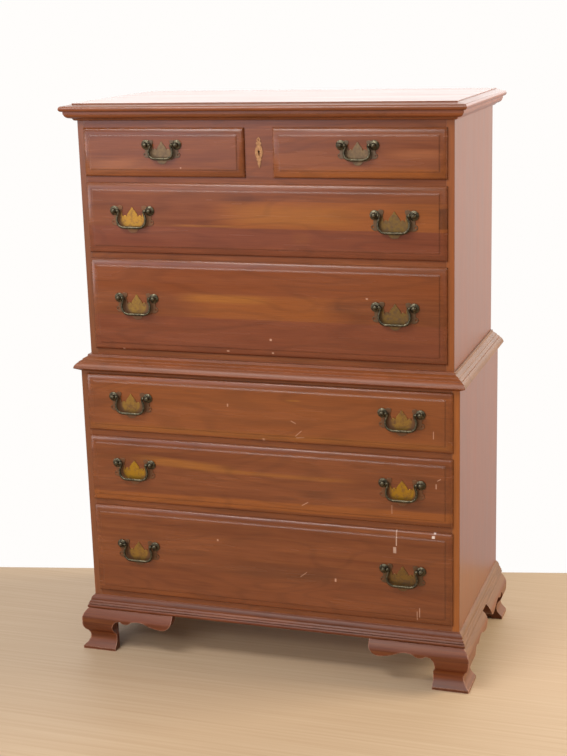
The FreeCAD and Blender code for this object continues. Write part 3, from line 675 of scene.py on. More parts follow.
    def build(self) -> bpy.types.Material:
        """Builds the material.

        Returns:
            The material.
        """
        material, tree, shader = blank_material(self.name)
        place = add_node(tree, "ShaderNodeTexCoord").outputs["Object"]
        clouds = self.drawn(tree, place, self.clouds)
        pores = self.drawn(tree, place, self.pores)
        colour = self.ground(tree, place, clouds)
        if self.tones:
            colour = self.with_tones(tree, place, clouds, colour)
        colour = self.with_lines(tree, place, pores, colour)
        colour = self.with_worn_edges(tree, place, colour)
        tree.links.new(colour, shader.inputs["Base Color"])
        low, high = self.gloss_levels
        glossier, duller = (self.roughness + shift for shift in self.gloss_spread)
        gloss = add_node(tree, "ShaderNodeMapRange", None,
                         {1: low, 2: high, 3: glossier, 4: duller}, {0: clouds})
        tree.links.new(gloss.outputs["Result"], shader.inputs["Roughness"])
        rounded = add_node(tree, "ShaderNodeBevel", {"samples": BEVEL_SAMPLES},
                           {"Radius": self.edge_mm * MM})
        relief = add_node(tree, "ShaderNodeBump", None,
                          {"Strength": self.relief_depth, "Distance": self.relief_mm * MM},
                          {"Height": pores, "Normal": rounded.outputs["Normal"]})
        tree.links.new(relief.outputs["Normal"], shader.inputs["Normal"])
        shader.inputs["Specular IOR Level"].default_value = self.varnish
        shader.inputs["IOR"].default_value = self.ior
        return material


@dataclass(frozen=True)
class BareWood:
    """Poplar, plywood or limed oak left without gloss: pale, matt and finely streaked."""

    name: str
    light: str
    deep: str
    grain: Grain
    streaks: Figure = Figure(300.0, 5.0, harsh=0.5)
    roughness: float = 0.72
    relief_depth: float = 0.2
    relief_mm: float = 0.2

    def build(self) -> bpy.types.Material:
        """Builds the material.

        Returns:
            The material.
        """
        material, tree, shader = blank_material(self.name)
        place = add_node(tree, "ShaderNodeTexCoord").outputs["Object"]
        along = self.streaks.coordinates(tree, place, self.grain.value, 0.0)
        noise = self.streaks.noise(tree, along)
        colour = add_node(tree, "ShaderNodeMix", {"data_type": "RGBA"},
                          {6: linear(self.deep), 7: linear(self.light)},
                          {0: self.streaks.faded(tree, noise)})
        tree.links.new(colour.outputs[2], shader.inputs["Base Color"])
        relief = add_node(tree, "ShaderNodeBump", None,
                          {"Strength": self.relief_depth, "Distance": self.relief_mm * MM},
                          {"Height": noise})
        tree.links.new(relief.outputs["Normal"], shader.inputs["Normal"])
        shader.inputs["Roughness"].default_value = self.roughness
        return material


@dataclass(frozen=True)
class Brass:
    """Cast or stamped brass whose lacquer has worn: gold where rubbed, brown where tarnished."""

    name: str
    bright: str
    tarnish: str
    bright_share: float = 0.5               # share of the surface that is still bright
    rubbed_mm: tuple[float, float, float] | None = None    # height and half sizes of an oval
    spot_mm: float = 9.0                    # size of a patch of tarnish
    roughness: float = 0.42
    tarnish_rougher: float = 0.1
    levels: Span = (0.62, 0.38)             # noise level of the change when none or all is bright
    fade: float = 0.14                      # half the width of that change
    oval_edge: Span = (1.12, 0.8)           # where the rubbed oval starts and is full
    relief_depth: float = 0.25
    relief_mm: float = 0.15

    def inside_oval(self, tree: Tree, mask: Socket) -> Socket:
        """Keeps the bright metal to an oval in the middle of a sheet, by its own flat map.

        Args:
            tree: The material's tree.
            mask: Where the metal is bright.

        Returns:
            The mask, 0 outside the oval.
        """
        middle, half_wide, half_high = self.rubbed_mm
        place = add_node(tree, "ShaderNodeUVMap", {"uv_map": SHEET_MAP}).outputs["UV"]
        local = add_node(tree, "ShaderNodeMapping", None,
                         {"Location": (0.0, -middle / half_high, 0.0),
                          "Scale": (1 / (half_wide * MM), 1 / (half_high * MM), 0.0)},
                         {"Vector": place})
        far = add_node(tree, "ShaderNodeVectorMath", {"operation": "LENGTH"}, None,
                       {0: local.outputs["Vector"]})
        start, full = self.oval_edge
        inside = add_node(tree, "ShaderNodeMapRange", {"interpolation_type": "SMOOTHSTEP"},
                          {1: start, 2: full}, {0: far.outputs["Value"]})
        return add_node(tree, "ShaderNodeMath", {"operation": "MULTIPLY"}, None,
                        {0: mask, 1: inside.outputs["Result"]}).outputs[0]

    def build(self) -> bpy.types.Material:
        """Builds the material.

        Returns:
            The material.
        """
        material, tree, shader = blank_material(self.name)
        place = add_node(tree, "ShaderNodeTexCoord").outputs["Object"]
        patches = add_node(tree, "ShaderNodeTexNoise", None,
                           {"Scale": 1 / (self.spot_mm * MM), "Detail": 4.0, "Roughness": 0.65},
                           {"Vector": place}).outputs["Fac"]
        none, whole = self.levels
        middle = none + (whole - none) * self.bright_share
        mask = add_node(tree, "ShaderNodeMapRange", None,
                        {1: middle - self.fade, 2: middle + self.fade},
                        {0: patches}).outputs["Result"]
        if self.rubbed_mm:
            mask = self.inside_oval(tree, mask)
        colour = add_node(tree, "ShaderNodeMix", {"data_type": "RGBA"},
                          {6: linear(self.tarnish), 7: linear(self.bright)}, {0: mask})
        tree.links.new(colour.outputs[2], shader.inputs["Base Color"])
        gloss = add_node(tree, "ShaderNodeMapRange", None,
                         {3: self.roughness + self.tarnish_rougher, 4: self.roughness}, {0: mask})
        tree.links.new(gloss.outputs["Result"], shader.inputs["Roughness"])
        relief = add_node(tree, "ShaderNodeBump", None,
                          {"Strength": self.relief_depth, "Distance": self.relief_mm * MM},
                          {"Height": patches})
        tree.links.new(relief.outputs["Normal"], shader.inputs["Normal"])
        shader.inputs["Metallic"].default_value = 1.0
        return material


# ---------------------------------------------------------------- case work
@dataclass(frozen=True)
class CaseWork:
    """Boards and mouldings, which keep their CAD shape and take a finish by what they are."""

    smooth_degrees: float = 32.0      # facets that turn less than this belong to one curve
    weld_mm: float = 0.01

    def dress(self, node: str, material: bpy.types.Material) -> None:
        """Gives a CAD node one finish on all its faces.

        Args:
            node: The CAD node.
            material: Its finish.
        """
        mesh = frame["nodes"][node].data
        for index in range(len(mesh.materials)):
            mesh.materials[index] = material
        if not mesh.materials:
            mesh.materials.append(material)
        LOG.info("finish %s on %s", material.name, node)

    def shape(self, node: str, body: str, slot: str, material: bpy.types.Material) -> None:
        """Puts a welded, smoothly shaded copy in a curved node's place.

        Args:
            node: The CAD node.
            body: The moving body that carries it.
            slot: The record's material slot; not used.
            material: Its finish.
        """
        work = bmesh.new()
        work.from_mesh(frame["nodes"][node].data)
        bmesh.ops.remove_doubles(work, verts=work.verts[:], dist=self.weld_mm * MM)
        mesh = written_mesh(work, f"{node}_shaped")
        if "custom_normal" in mesh.attributes:
            mesh.attributes.remove(mesh.attributes["custom_normal"])
        smooth_by_angle(mesh, self.smooth_degrees)
        finished_piece(f"{node}_shaped", mesh, body, material, (node,))


# ---------------------------------------------------------------- pulls
class Polish(Enum):
    """How much of a plate's lacquer is left, as the brass that shows."""

    BRIGHT = Brass("lacquered_brass_bright", "#B98A3E", "#7C5A42", 1.0, (-17.0, 31.0, 27.0))
    YELLOW = Brass("lacquered_brass_yellow", "#B0872F", "#7C5A42", 0.9, (-19.0, 30.0, 26.0))
    WORN = Brass("lacquered_brass_worn", "#9E7C40", "#745640", 0.8, (-15.0, 25.0, 28.0))
    OLIVE = Brass("lacquered_brass_tarnished", "#85693A", "#6A5440", 0.6, (-19.0, 34.0, 32.0))
    DULL = Brass("lacquered_brass_dull", "#836C50", "#6A5848", 0.6, (-17.0, 30.0, 30.0))


@dataclass(frozen=True)
class TurnedPart:
    """Post or nut as a profile turned about its own axis."""

    label: str
    profile: tuple[Point, ...]      # radius, distance out from the drawer's field
    sides: int
    turn: float                     # how far chance may turn it about its axis, in radians
    smooth_degrees: float


POST = TurnedPart("posts", (
    (0, -23.5), (2.2, -23.5), (2.2, 1.6), (11.1, 1.6), (11.5, 2.0), (11.3, 2.5), (10.3, 2.7),
    (9.9, 3.2), (8.8, 3.6), (7.5, 4.0), (6.3, 4.2), (5.3, 4.4), (4.8, 4.9), (5.2, 5.5),
    (6.1, 6.2), (6.5, 7.5), (6.4, 8.9), (6.0, 10.3), (5.3, 11.6), (4.2, 12.8), (2.9, 13.6),
    (1.5, 13.95), (0, 14.0)), 28, 0.0, 45.0)
NUT = TurnedPart("nuts", (
    (2.2, -23.3), (4.6, -23.5), (5.5, -23.0), (5.5, -20.4), (4.8, -20.0), (2.2, -20.0),
    (2.2, -23.3)), 6, math.pi / 3, 25.0)


@dataclass(frozen=True)
class HardwareTree:
    """Geometry Nodes tree that sets one metal part on every point of a mesh."""

    name: str = "hardware_on_points"
    seed: int = 7                   # of the chance that turns each nut

    def build(self) -> Tree:
        """Builds the tree with its named inputs.

        Returns:
            The tree.
        """
        tree = bpy.data.node_groups.new(self.name, "GeometryNodeTree")
        for label, kind in (("Places", "Geometry"), ("Pattern", "Object"), ("Size", "Float"),
                            ("Turn", "Float"), ("Seed", "Int"), ("Finish", "Material")):
            tree.interface.new_socket(label, in_out="INPUT", socket_type=f"NodeSocket{kind}")
        tree.interface.new_socket("Hardware", in_out="OUTPUT", socket_type="NodeSocketGeometry")
        given = add_node(tree, "NodeGroupInput").outputs
        pattern = add_node(tree, "GeometryNodeObjectInfo", links={"Object": given["Pattern"]})
        chance = add_node(tree, "FunctionNodeRandomValue", {"data_type": "FLOAT"}, None,
                          {3: given["Turn"], "Seed": given["Seed"]})
        turn = add_node(tree, "ShaderNodeCombineXYZ", links={"Y": chance.outputs[1]})
        placed = add_node(tree, "GeometryNodeInstanceOnPoints", None, None,
                          {"Points": given["Places"], "Instance": pattern.outputs["Geometry"],
                           "Rotation": turn.outputs["Vector"], "Scale": given["Size"]})
        real = add_node(tree, "GeometryNodeRealizeInstances",
                        links={"Geometry": placed.outputs["Instances"]})
        dressed = add_node(tree, "GeometryNodeSetMaterial", None, None,
                           {"Geometry": real.outputs["Geometry"], "Material": given["Finish"]})
        add_node(tree, "NodeGroupOutput", links={"Hardware": dressed.outputs["Geometry"]})
        return tree

    def run(self, tree: Tree, part: TurnedPart, places: list[Place],
            finish: bpy.types.Material) -> bpy.types.Mesh:
        """Sets one part on a list of places.

        Args:
            tree: The tree that build made.
            part: The post or nut.
            places: Points in metres.
            finish: Its metal.

        Returns:
            All of them as one plain mesh.
        """
        pattern = new_object(part.label, turned_part(part.label, part.profile, part.sides))
        inputs = {"Pattern": pattern, "Size": 1.0, "Turn": part.turn, "Seed": self.seed,
                  "Finish": finish}
        points = bpy.data.meshes.new("hardware_places")
        points.from_pydata(places, [], [])
        carrier = new_object("hardware_places", points)
        modifier = carrier.modifiers.new("hardware", "NODES")
        modifier.node_group = tree
        for item in tree.interface.items_tree:
            if item.in_out == "INPUT" and item.name in inputs:
                modifier[item.identifier] = inputs[item.name]
        mesh = evaluated_mesh(carrier)
        bpy.data.objects.remove(pattern)
        smooth_by_angle(mesh, part.smooth_degrees)
        return mesh


@dataclass(frozen=True)
class PullPlan:
    """One drawer's pulls: where they sit, how large they are and how worn each plate is."""

    drawer: str
    centres: tuple[float, ...]
    post_z: float
    field_y: float
    polish: tuple[Polish, ...]
    spacing: float = 90.0
    drop: float = 39.0

    def bails(self) -> list[str]:
        """Names the bodies of its bails, from left to right."""
        ends = ("_left", "_right") if len(self.centres) == 2 else ("",)
        return [f"{self.drawer}_bail{end}" for end in ends]


@dataclass(frozen=True)
class PullMaker:
    """Swan-neck bail pulls: a pierced plate, two bored posts with nuts, and the bail."""

    full_spacing: float = 90.0                      # of the posts that the plate is drawn for
    plate_thick: float = 1.6
    plate_edge: float = 0.45
    plate_smooth_degrees: float = 40.0
    piercing: tuple[float, float, float] = (49.0, -27.0, 2.6)    # out, up and radius
    hinge_out: float = 7.5
    bail_bow: float = 2.5                           # how far the grip stands out from the hinge
    knob_radius: float = 6.5
    pin_depth: float = 4.0
    pin_radius: float = 1.8
    pin_shows: float = 0.25                         # between knob and knuckle
    neck_radius: float = 2.0
    grip_radius: float = 3.0
    widest_in: float = 2.2
    bail_sides: int = 14
    bail_smooth_degrees: float = 50.0
    # Right half of the plate from its foot to its head, about the posts' line; True marks a cusp.
    plate_half: tuple[tuple, ...] = (
        (0, -53, True), (3.5, -52.6), (6.5, -52), (11, -48.5), (15, -43, True), (22, -42.5),
        (30, -39.5), (38, -34.5, True), (43, -36), (50, -34), (54.5, -28), (52.5, -22.5),
        (47.6, -20.5, True), (48.5, -16), (47.5, -11), (49.5, -6), (55, 2), (48, 10.5), (43, 8),
        (38, 9.5), (34, 12.5), (30, 12.5), (25, 11, True), (24, 6), (26.8, 1), (26.5, -3),
        (24.5, -15, True), (20.5, -10.2), (17, -11), (13.5, -14.5, True), (13.5, -11), (12, -7),
        (9, -3.5), (6.5, 0.5), (4.2, 2), (3.6, 4.6), (0, 9, True))
    # Round knuckle at a bail's end: distance in from the knob, radius.
    knuckle: tuple[Point, ...] = (
        (0.3, 2.4), (0.8, 3.3), (1.9, 4.1), (3.3, 4.4), (4.7, 4.2), (5.6, 3.6))
    # Line of a bail from neck to grip: distance in from its widest part, share of drop, thickening.
    bail_line: tuple[tuple[float, float, float], ...] = (
        (4.2, 0.07, 1.1), (3.4, 0.18, 0.7), (0.8, 0.36, 0.8), (0, 0.5, 0.9), (0.6, 0.66, 1.0),
        (3.2, 0.82, 1.1), (8.6, 0.94, 1.1), (14, 0.985, 0.9), (18, 1.0, 1.3), (27, 1.0, 1.45))
    posts_and_nuts: HardwareTree = HardwareTree()
    cast: Brass = Brass("cast_brass_darkened", "#6C6450", "#3A352B", 0.4, None, 5.0, 0.38)

    def plate(self, plan: PullPlan, centre: float) -> bpy.types.Mesh:
        """Stamps one plate in place.

        Args:
            plan: The drawer's pulls.
            centre: Middle of the pull across.

        Returns:
            The plate.
        """
        scale = plan.spacing / self.full_spacing
        out, up, radius = self.piercing
        holes = [circle(side * out, up, radius) for side in (-1, 1)]
        loops = [[(x * scale, z * scale) for x, z in points]
                 for points in (softened(mirrored(self.plate_half)), *holes)]
        mesh = stamped_sheet("plate", loops, self.plate_thick, self.plate_edge)
        put_at(mesh, centre, plan.field_y, plan.post_z)
        smooth_by_angle(mesh, self.plate_smooth_degrees)
        return mesh

    def plates(self, plan: PullPlan, metals: dict[Polish, bpy.types.Material]) -> bpy.types.Mesh:
        """Stamps a drawer's plates, which may differ in polish.

        Args:
            plan: The drawer's pulls.
            metals: The material of each polish.

        Returns:
            One mesh with a material for each plate.
        """
        work = bmesh.new()
        for number, centre in enumerate(plan.centres):
            before = len(work.faces)
            work.from_mesh(self.plate(plan, centre))
            work.faces.ensure_lookup_table()
            for face in work.faces[before:]:
                face.material_index = number
        mesh = written_mesh(work, f"{plan.drawer}_plates")
        for polish in plan.polish:
            mesh.materials.append(metals[polish])
        return mesh

    def bail(self, plan: PullPlan, centre: float) -> bpy.types.Mesh:
        """Bends one bail with its pins, in place.

        Args:
            plan: The drawer's pulls.
            centre: Middle of the pull across.

        Returns:
            The bail.
        """
        knob = plan.spacing / 2 - self.knob_radius
        swell = self.grip_radius - self.neck_radius
        end = [(knob + self.pin_depth, 0.0, self.pin_radius),
               (knob - self.pin_shows, 0.0, self.pin_radius)]
        end += [(knob - inward, 0.0, radius) for inward, radius in self.knuckle]
        bend = [(knob - self.widest_in - inward, share, self.neck_radius + swell * thick)
                for inward, share, thick in self.bail_line]
        right = end + smooth_line([end[-1]] + bend)[1:]
        whole = right + [(-x, share, radius) for x, share, radius in reversed(right)]
        path = [(centre + x, plan.field_y - self.hinge_out - self.bail_bow * share,
                 plan.post_z - plan.drop * share, radius) for x, share, radius in whole]
        mesh = swept_bar("bail", path, self.bail_sides)
        smooth_by_angle(mesh, self.bail_smooth_degrees)
        return mesh

    def build(self, plans: tuple[PullPlan, ...]) -> None:
        """Builds every pull: plates, posts and nuts ride on the drawer, and each bail rides on its
        own body.

        Args:
            plans: Each drawer's pulls.
        """
        dark = self.cast.build()
        metals = {polish: polish.value.build() for polish in Polish}
        tree = self.posts_and_nuts.build()
        for plan in plans:
            finished_piece(f"{plan.drawer}_plates", self.plates(plan, metals), plan.drawer, None,
                           (f"{plan.drawer}_pull_mounts",))
            places = [((centre + side * plan.spacing / 2) * MM, plan.field_y * MM, plan.post_z * MM)
                      for centre in plan.centres for side in (-1, 1)]
            for part in (POST, NUT):
                mesh = self.posts_and_nuts.run(tree, part, places, dark)
                finished_piece(f"{plan.drawer}_{part.label}", mesh, plan.drawer, None)
            for centre, body in zip(plan.centres, plan.bails()):
                finished_piece(f"{body}_bar", self.bail(plan, centre), body, dark,
                               (body,))


@dataclass(frozen=True)
class KeyPlate:
    """Stamped escutcheon with its keyhole, on the stile between the small drawers."""

    front_y: float = -203.35
    middle_z: float = 1256.0
    thick: float = 1.2
    edge: float = 0.35
    smooth_degrees: float = 40.0
    eye: Point = (2.4, 2.4)                         # height over the middle, and radius
    eye_steps: int = 18
    slot_half: float = 1.3
    slot_foot: float = -6.0
    nail: tuple[float, float] = (28.6, 1.7)         # height of its hole over the middle, and radius
    nail_sides: int = 12
    brass: Brass = Brass("gilt_brass_faded", "#B4875E", "#8A6244", 0.6, None, 6.0, 0.5)
    # Right half from its foot to its head; True marks a cusp.
    half: tuple[tuple, ...] = (
        (0, -36, True), (1.8, -30), (4.2, -25), (3.0, -19, True), (5.4, -18.5), (6.5, -15.5),
        (5.0, -12.5, True), (7.4, -9), (8.7, -6), (9.5, 1), (8.8, 9), (7, 13), (5.0, 15.5),
        (4.0, 18.5, True), (6.4, 19.2), (7.2, 21.5), (5.4, 24), (2.6, 25, True), (4.8, 28),
        (4.6, 31), (2.4, 33.4), (0, 36, True))

    def keyhole(self) -> list[Point]:
        """Draws the eye and the slot under it as one outline.

        Returns:
            The closed outline.
        """
        high, radius = self.eye
        half_gap = math.asin(self.slot_half / radius)
        eye = arc(0.0, high, radius, half_gap - math.pi / 2, FULL_TURN - 2 * half_gap,
                  self.eye_steps)
        return eye + [(-self.slot_half, self.slot_foot), (self.slot_half, self.slot_foot)]

    def build(self) -> None:
        """Builds the escutcheon and sets it on the stile."""
        nail_high, nail_radius = self.nail
        loops = [softened(mirrored(self.half)), self.keyhole(),
                 circle(0.0, nail_high, nail_radius, self.nail_sides)]
        mesh = stamped_sheet("escutcheon", loops, self.thick, self.edge)
        put_at(mesh, 0.0, self.front_y, self.middle_z)
        smooth_by_angle(mesh, self.smooth_degrees)
        finished_piece("escutcheon_plate", mesh, "case", self.brass.build(),
                       ("escutcheon",))


# ---------------------------------------------------------------- studio
@dataclass(frozen=True)
class Lamp:
    """Soft rectangular lamp that isn't seen itself."""

    name: str
    place: Place                    # its middle in metres
    aim: Place                      # the point in metres that it faces
    size: tuple[float, float]       # width and height in metres
    watts: float
    colour: str = "#FFFFFF"

    def build(self) -> None:
        """Hangs the lamp and aims it."""
        light = bpy.data.lights.new(self.name, "AREA")
        light.shape = "RECTANGLE"
        light.size, light.size_y = self.size
        light.energy = self.watts
        light.color = linear(self.colour)[:3]
        item = new_object(self.name, light)
        item.location = self.place
        toward = Vector(self.aim) - Vector(self.place)
        item.rotation_euler = toward.to_track_quat("-Z", "Y").to_euler()
        item.visible_camera = False


LAMPS = (
    Lamp("lamp_overhead", (-0.9, -1.9, 3.0), (0.0, -0.2, 0.8), (1.7, 0.5), 54.0),
    Lamp("lamp_window", (-2.4, -4.2, 1.35), (-0.3, -0.2, 0.9), (3.0, 1.3), 25.0, "#D8E3FF"),
    Lamp("lamp_high_window", (-0.7, -4.6, 3.0), (0.0, -0.2, 0.9), (3.4, 0.9), 78.0),
    Lamp("lamp_left_window", (-4.0, -3.0, 1.2), (-0.4, -0.2, 0.9), (1.3, 1.5), 34.0),
    Lamp("lamp_rear", (0.0, 3.6, 2.3), (0.0, 0.0, 1.37), (6.0, 1.7), 56.0),
    Lamp("lamp_right", (3.4, 0.9, 1.9), (0.4, 0.1, 0.9), (1.6, 1.6), 158.0, "#FFF3DA"),
)


@dataclass(frozen=True)
class Surroundings:
    """White for the eye, a plain level for light, and for gloss a room that is dimmer in front of
    the drawers and near the floor."""

    white: str = "#FFFDFB"
    plain_level: float = 0.4        # even light from all round
    room_level: float = 0.4         # what gloss shows of the room in front of the drawers
    room_edge: Span = (-0.1, 0.5)   # y of the directions where the room turns to white
    skirting_level: float = 0.6     # and of the wall near the floor
    skirting_edge: Span = (-0.36, -0.12)        # z of the directions where it ends
    ceiling_edge: Span = (0.35, 0.8)            # z of the directions where the white ceiling starts

    def seen_by_gloss(self, tree: Tree) -> Socket:
        """Draws the room that gloss shows.

        Args:
            tree: The world's tree.

        Returns:
            Its level in each direction.
        """
        toward = add_node(tree, "ShaderNodeTexCoord").outputs["Generated"]
        parts = add_node(tree, "ShaderNodeSeparateXYZ", links={"Vector": toward})
        soft = {"interpolation_type": "SMOOTHSTEP"}
        room = add_node(tree, "ShaderNodeMapRange", soft,
                        {1: self.room_edge[0], 2: self.room_edge[1], 3: self.room_level},
                        {0: parts.outputs["Y"]})
        skirting = add_node(tree, "ShaderNodeMapRange", None,
                            {1: self.skirting_edge[0], 2: self.skirting_edge[1],
                             3: self.skirting_level}, {0: parts.outputs["Z"]})
        wall = add_node(tree, "ShaderNodeMath", {"operation": "MULTIPLY"}, None,
                        {0: room.outputs["Result"], 1: skirting.outputs["Result"]})
        ceiling = add_node(tree, "ShaderNodeMapRange", soft,
                           {1: self.ceiling_edge[0], 2: self.ceiling_edge[1]},
                           {0: parts.outputs["Z"]})
        return add_node(tree, "ShaderNodeMath", {"operation": "MAXIMUM"}, None,
                        {0: wall.outputs[0], 1: ceiling.outputs["Result"]}).outputs[0]

    def build(self) -> None:
        """Builds the world."""
        world = bpy.data.worlds.new("studio_world")
        bpy.context.scene.world = world
        world.use_nodes = True
        tree = world.node_tree
        ray = add_node(tree, "ShaderNodeLightPath").outputs
        gloss = add_node(tree, "ShaderNodeMath", {"operation": "MAXIMUM"}, None,
                         {0: ray["Is Glossy Ray"], 1: ray["Is Transmission Ray"]})
        level = add_node(tree, "ShaderNodeMix", {"data_type": "FLOAT"}, {2: self.plain_level},
                         {0: gloss.outputs[0], 3: self.seen_by_gloss(tree)})
        whole = add_node(tree, "ShaderNodeMix", {"data_type": "FLOAT"}, {3: 1.0},
                         {0: ray["Is Camera Ray"], 2: level.outputs[0]})
        background = tree.nodes["Background"]
        background.inputs["Color"].default_value = linear(self.white)
        tree.links.new(whole.outputs[0], background.inputs["Strength"])


@dataclass(frozen=True)
class Camera:
    """Camera set by its place and by its yaw, pitch and roll in radians."""

    place: Place = (1.1092, -3.36065, 1.5756)       # in metres
    yaw: float = -0.3255
    pitch: float = -0.2488
    roll: float = -0.0282
    lens_mm: float = 69.49
    sensor_mm: float = 36.0

    def build(self) -> None:
        """Sets the camera up and makes it the scene's own."""
        data = bpy.data.cameras.new("studio_camera")
        data.sensor_width = self.sensor_mm
        data.lens = self.lens_mm
        ahead = Vector((math.sin(self.yaw) * math.cos(self.pitch),
                        math.cos(self.yaw) * math.cos(self.pitch), math.sin(self.pitch)))
        level = Vector((math.cos(self.yaw), -math.sin(self.yaw), 0.0))
        upright = level.cross(ahead)
        right = level * math.cos(self.roll) + upright * math.sin(self.roll)
        up = upright * math.cos(self.roll) - level * math.sin(self.roll)
        axes = Matrix((right, up, -ahead)).transposed()
        item = new_object("studio_camera", data)
        item.matrix_world = Matrix.Translation(self.place) @ axes.to_4x4()
        bpy.context.scene.camera = item


@dataclass(frozen=True)
class Studio:
    """Limed oak floor, white surroundings, soft lamps and the camera."""

    floor_reach: float = 9.0        # in metres
    wall_line: tuple[float, float] = (0.415, 0.226)     # y in metres at x = 0, and rise per length
    boards: BareWood = BareWood("limed_oak_floor", "#BCA386", "#B29779", Grain.ACROSS,
                                Figure(600.0, 8.0, harsh=0.5), 0.6)
    surroundings: Surroundings = Surroundings()
    lamps: tuple[Lamp, ...] = LAMPS
    camera: Camera = Camera()

    def build_floor(self) -> None:
        """Lays the floor, which takes the shadow and ends at the white surroundings."""
        mesh = bpy.data.meshes.new("studio_floor")
        reach = self.floor_reach
        start, rise = self.wall_line
        corners = [(-reach, -reach, 0), (reach, -reach, 0), (reach, start + rise * reach, 0),
                   (-reach, start - rise * reach, 0)]
        mesh.from_pydata(corners, [], [(0, 1, 2, 3)])
        mesh.materials.append(self.boards.build())
        new_object("studio_floor", mesh)

    def build(self) -> None:
        """Builds the whole studio."""
        bpy.context.scene.view_settings.view_transform = "Standard"
        self.build_floor()
        self.surroundings.build()
        for lamp in self.lamps:
            lamp.build()
        self.camera.build()
        LOG.info("studio: floor, world, %d lamps, camera", len(self.lamps))


# ---------------------------------------------------------------- this chest
FIELD_UPPER, FIELD_LOWER = -213.35, -237.35         # y of the drawers' raised fields
MIDDLE_PAIR, LOWER_PAIR = (-318, 318), (-337, 337)  # middles of the two pulls of a long drawer
SMALL = {"spacing": 77.0, "drop": 32.0}
PULLS = (
    PullPlan("small_left_drawer", (-235.5,), 1274.5, FIELD_UPPER, (Polish.DULL,), **SMALL),
    PullPlan("small_right_drawer", (235.5,), 1274.5, FIELD_UPPER, (Polish.DULL,), **SMALL),
    PullPlan("upper_middle_drawer", MIDDLE_PAIR, 1119.75, FIELD_UPPER,
             (Polish.BRIGHT, Polish.OLIVE)),
    PullPlan("upper_bottom_drawer", MIDDLE_PAIR, 910.25, FIELD_UPPER, (Polish.WORN, Polish.OLIVE)),
    PullPlan("lower_top_drawer", LOWER_PAIR, 669, FIELD_LOWER, (Polish.WORN, Polish.WORN)),
    PullPlan("lower_middle_drawer", LOWER_PAIR, 500.5, FIELD_LOWER,
             (Polish.YELLOW, Polish.YELLOW)),
    PullPlan("lower_bottom_drawer", LOWER_PAIR, 288.5, FIELD_LOWER, (Polish.WORN, Polish.OLIVE)),
)

STAINED = Cherry("varnished_cherry", "#804522", "#6B3516", "#8E5022", Grain.ACROSS)
ORANGE, GOLD, DARK, RED = "#8C4C1C", "#9A5E20", "#552C16", "#6F3422"
RAW, CHALK = "#E3C3AE", "#F2E2D6"                   # bare and whitened wood in deep chips
FRONT_EDGE_MM = 5.0                                 # radius that the fronts' edges seem to have
FRONT_SEED = 9.0                                    # of the first front; each next adds one
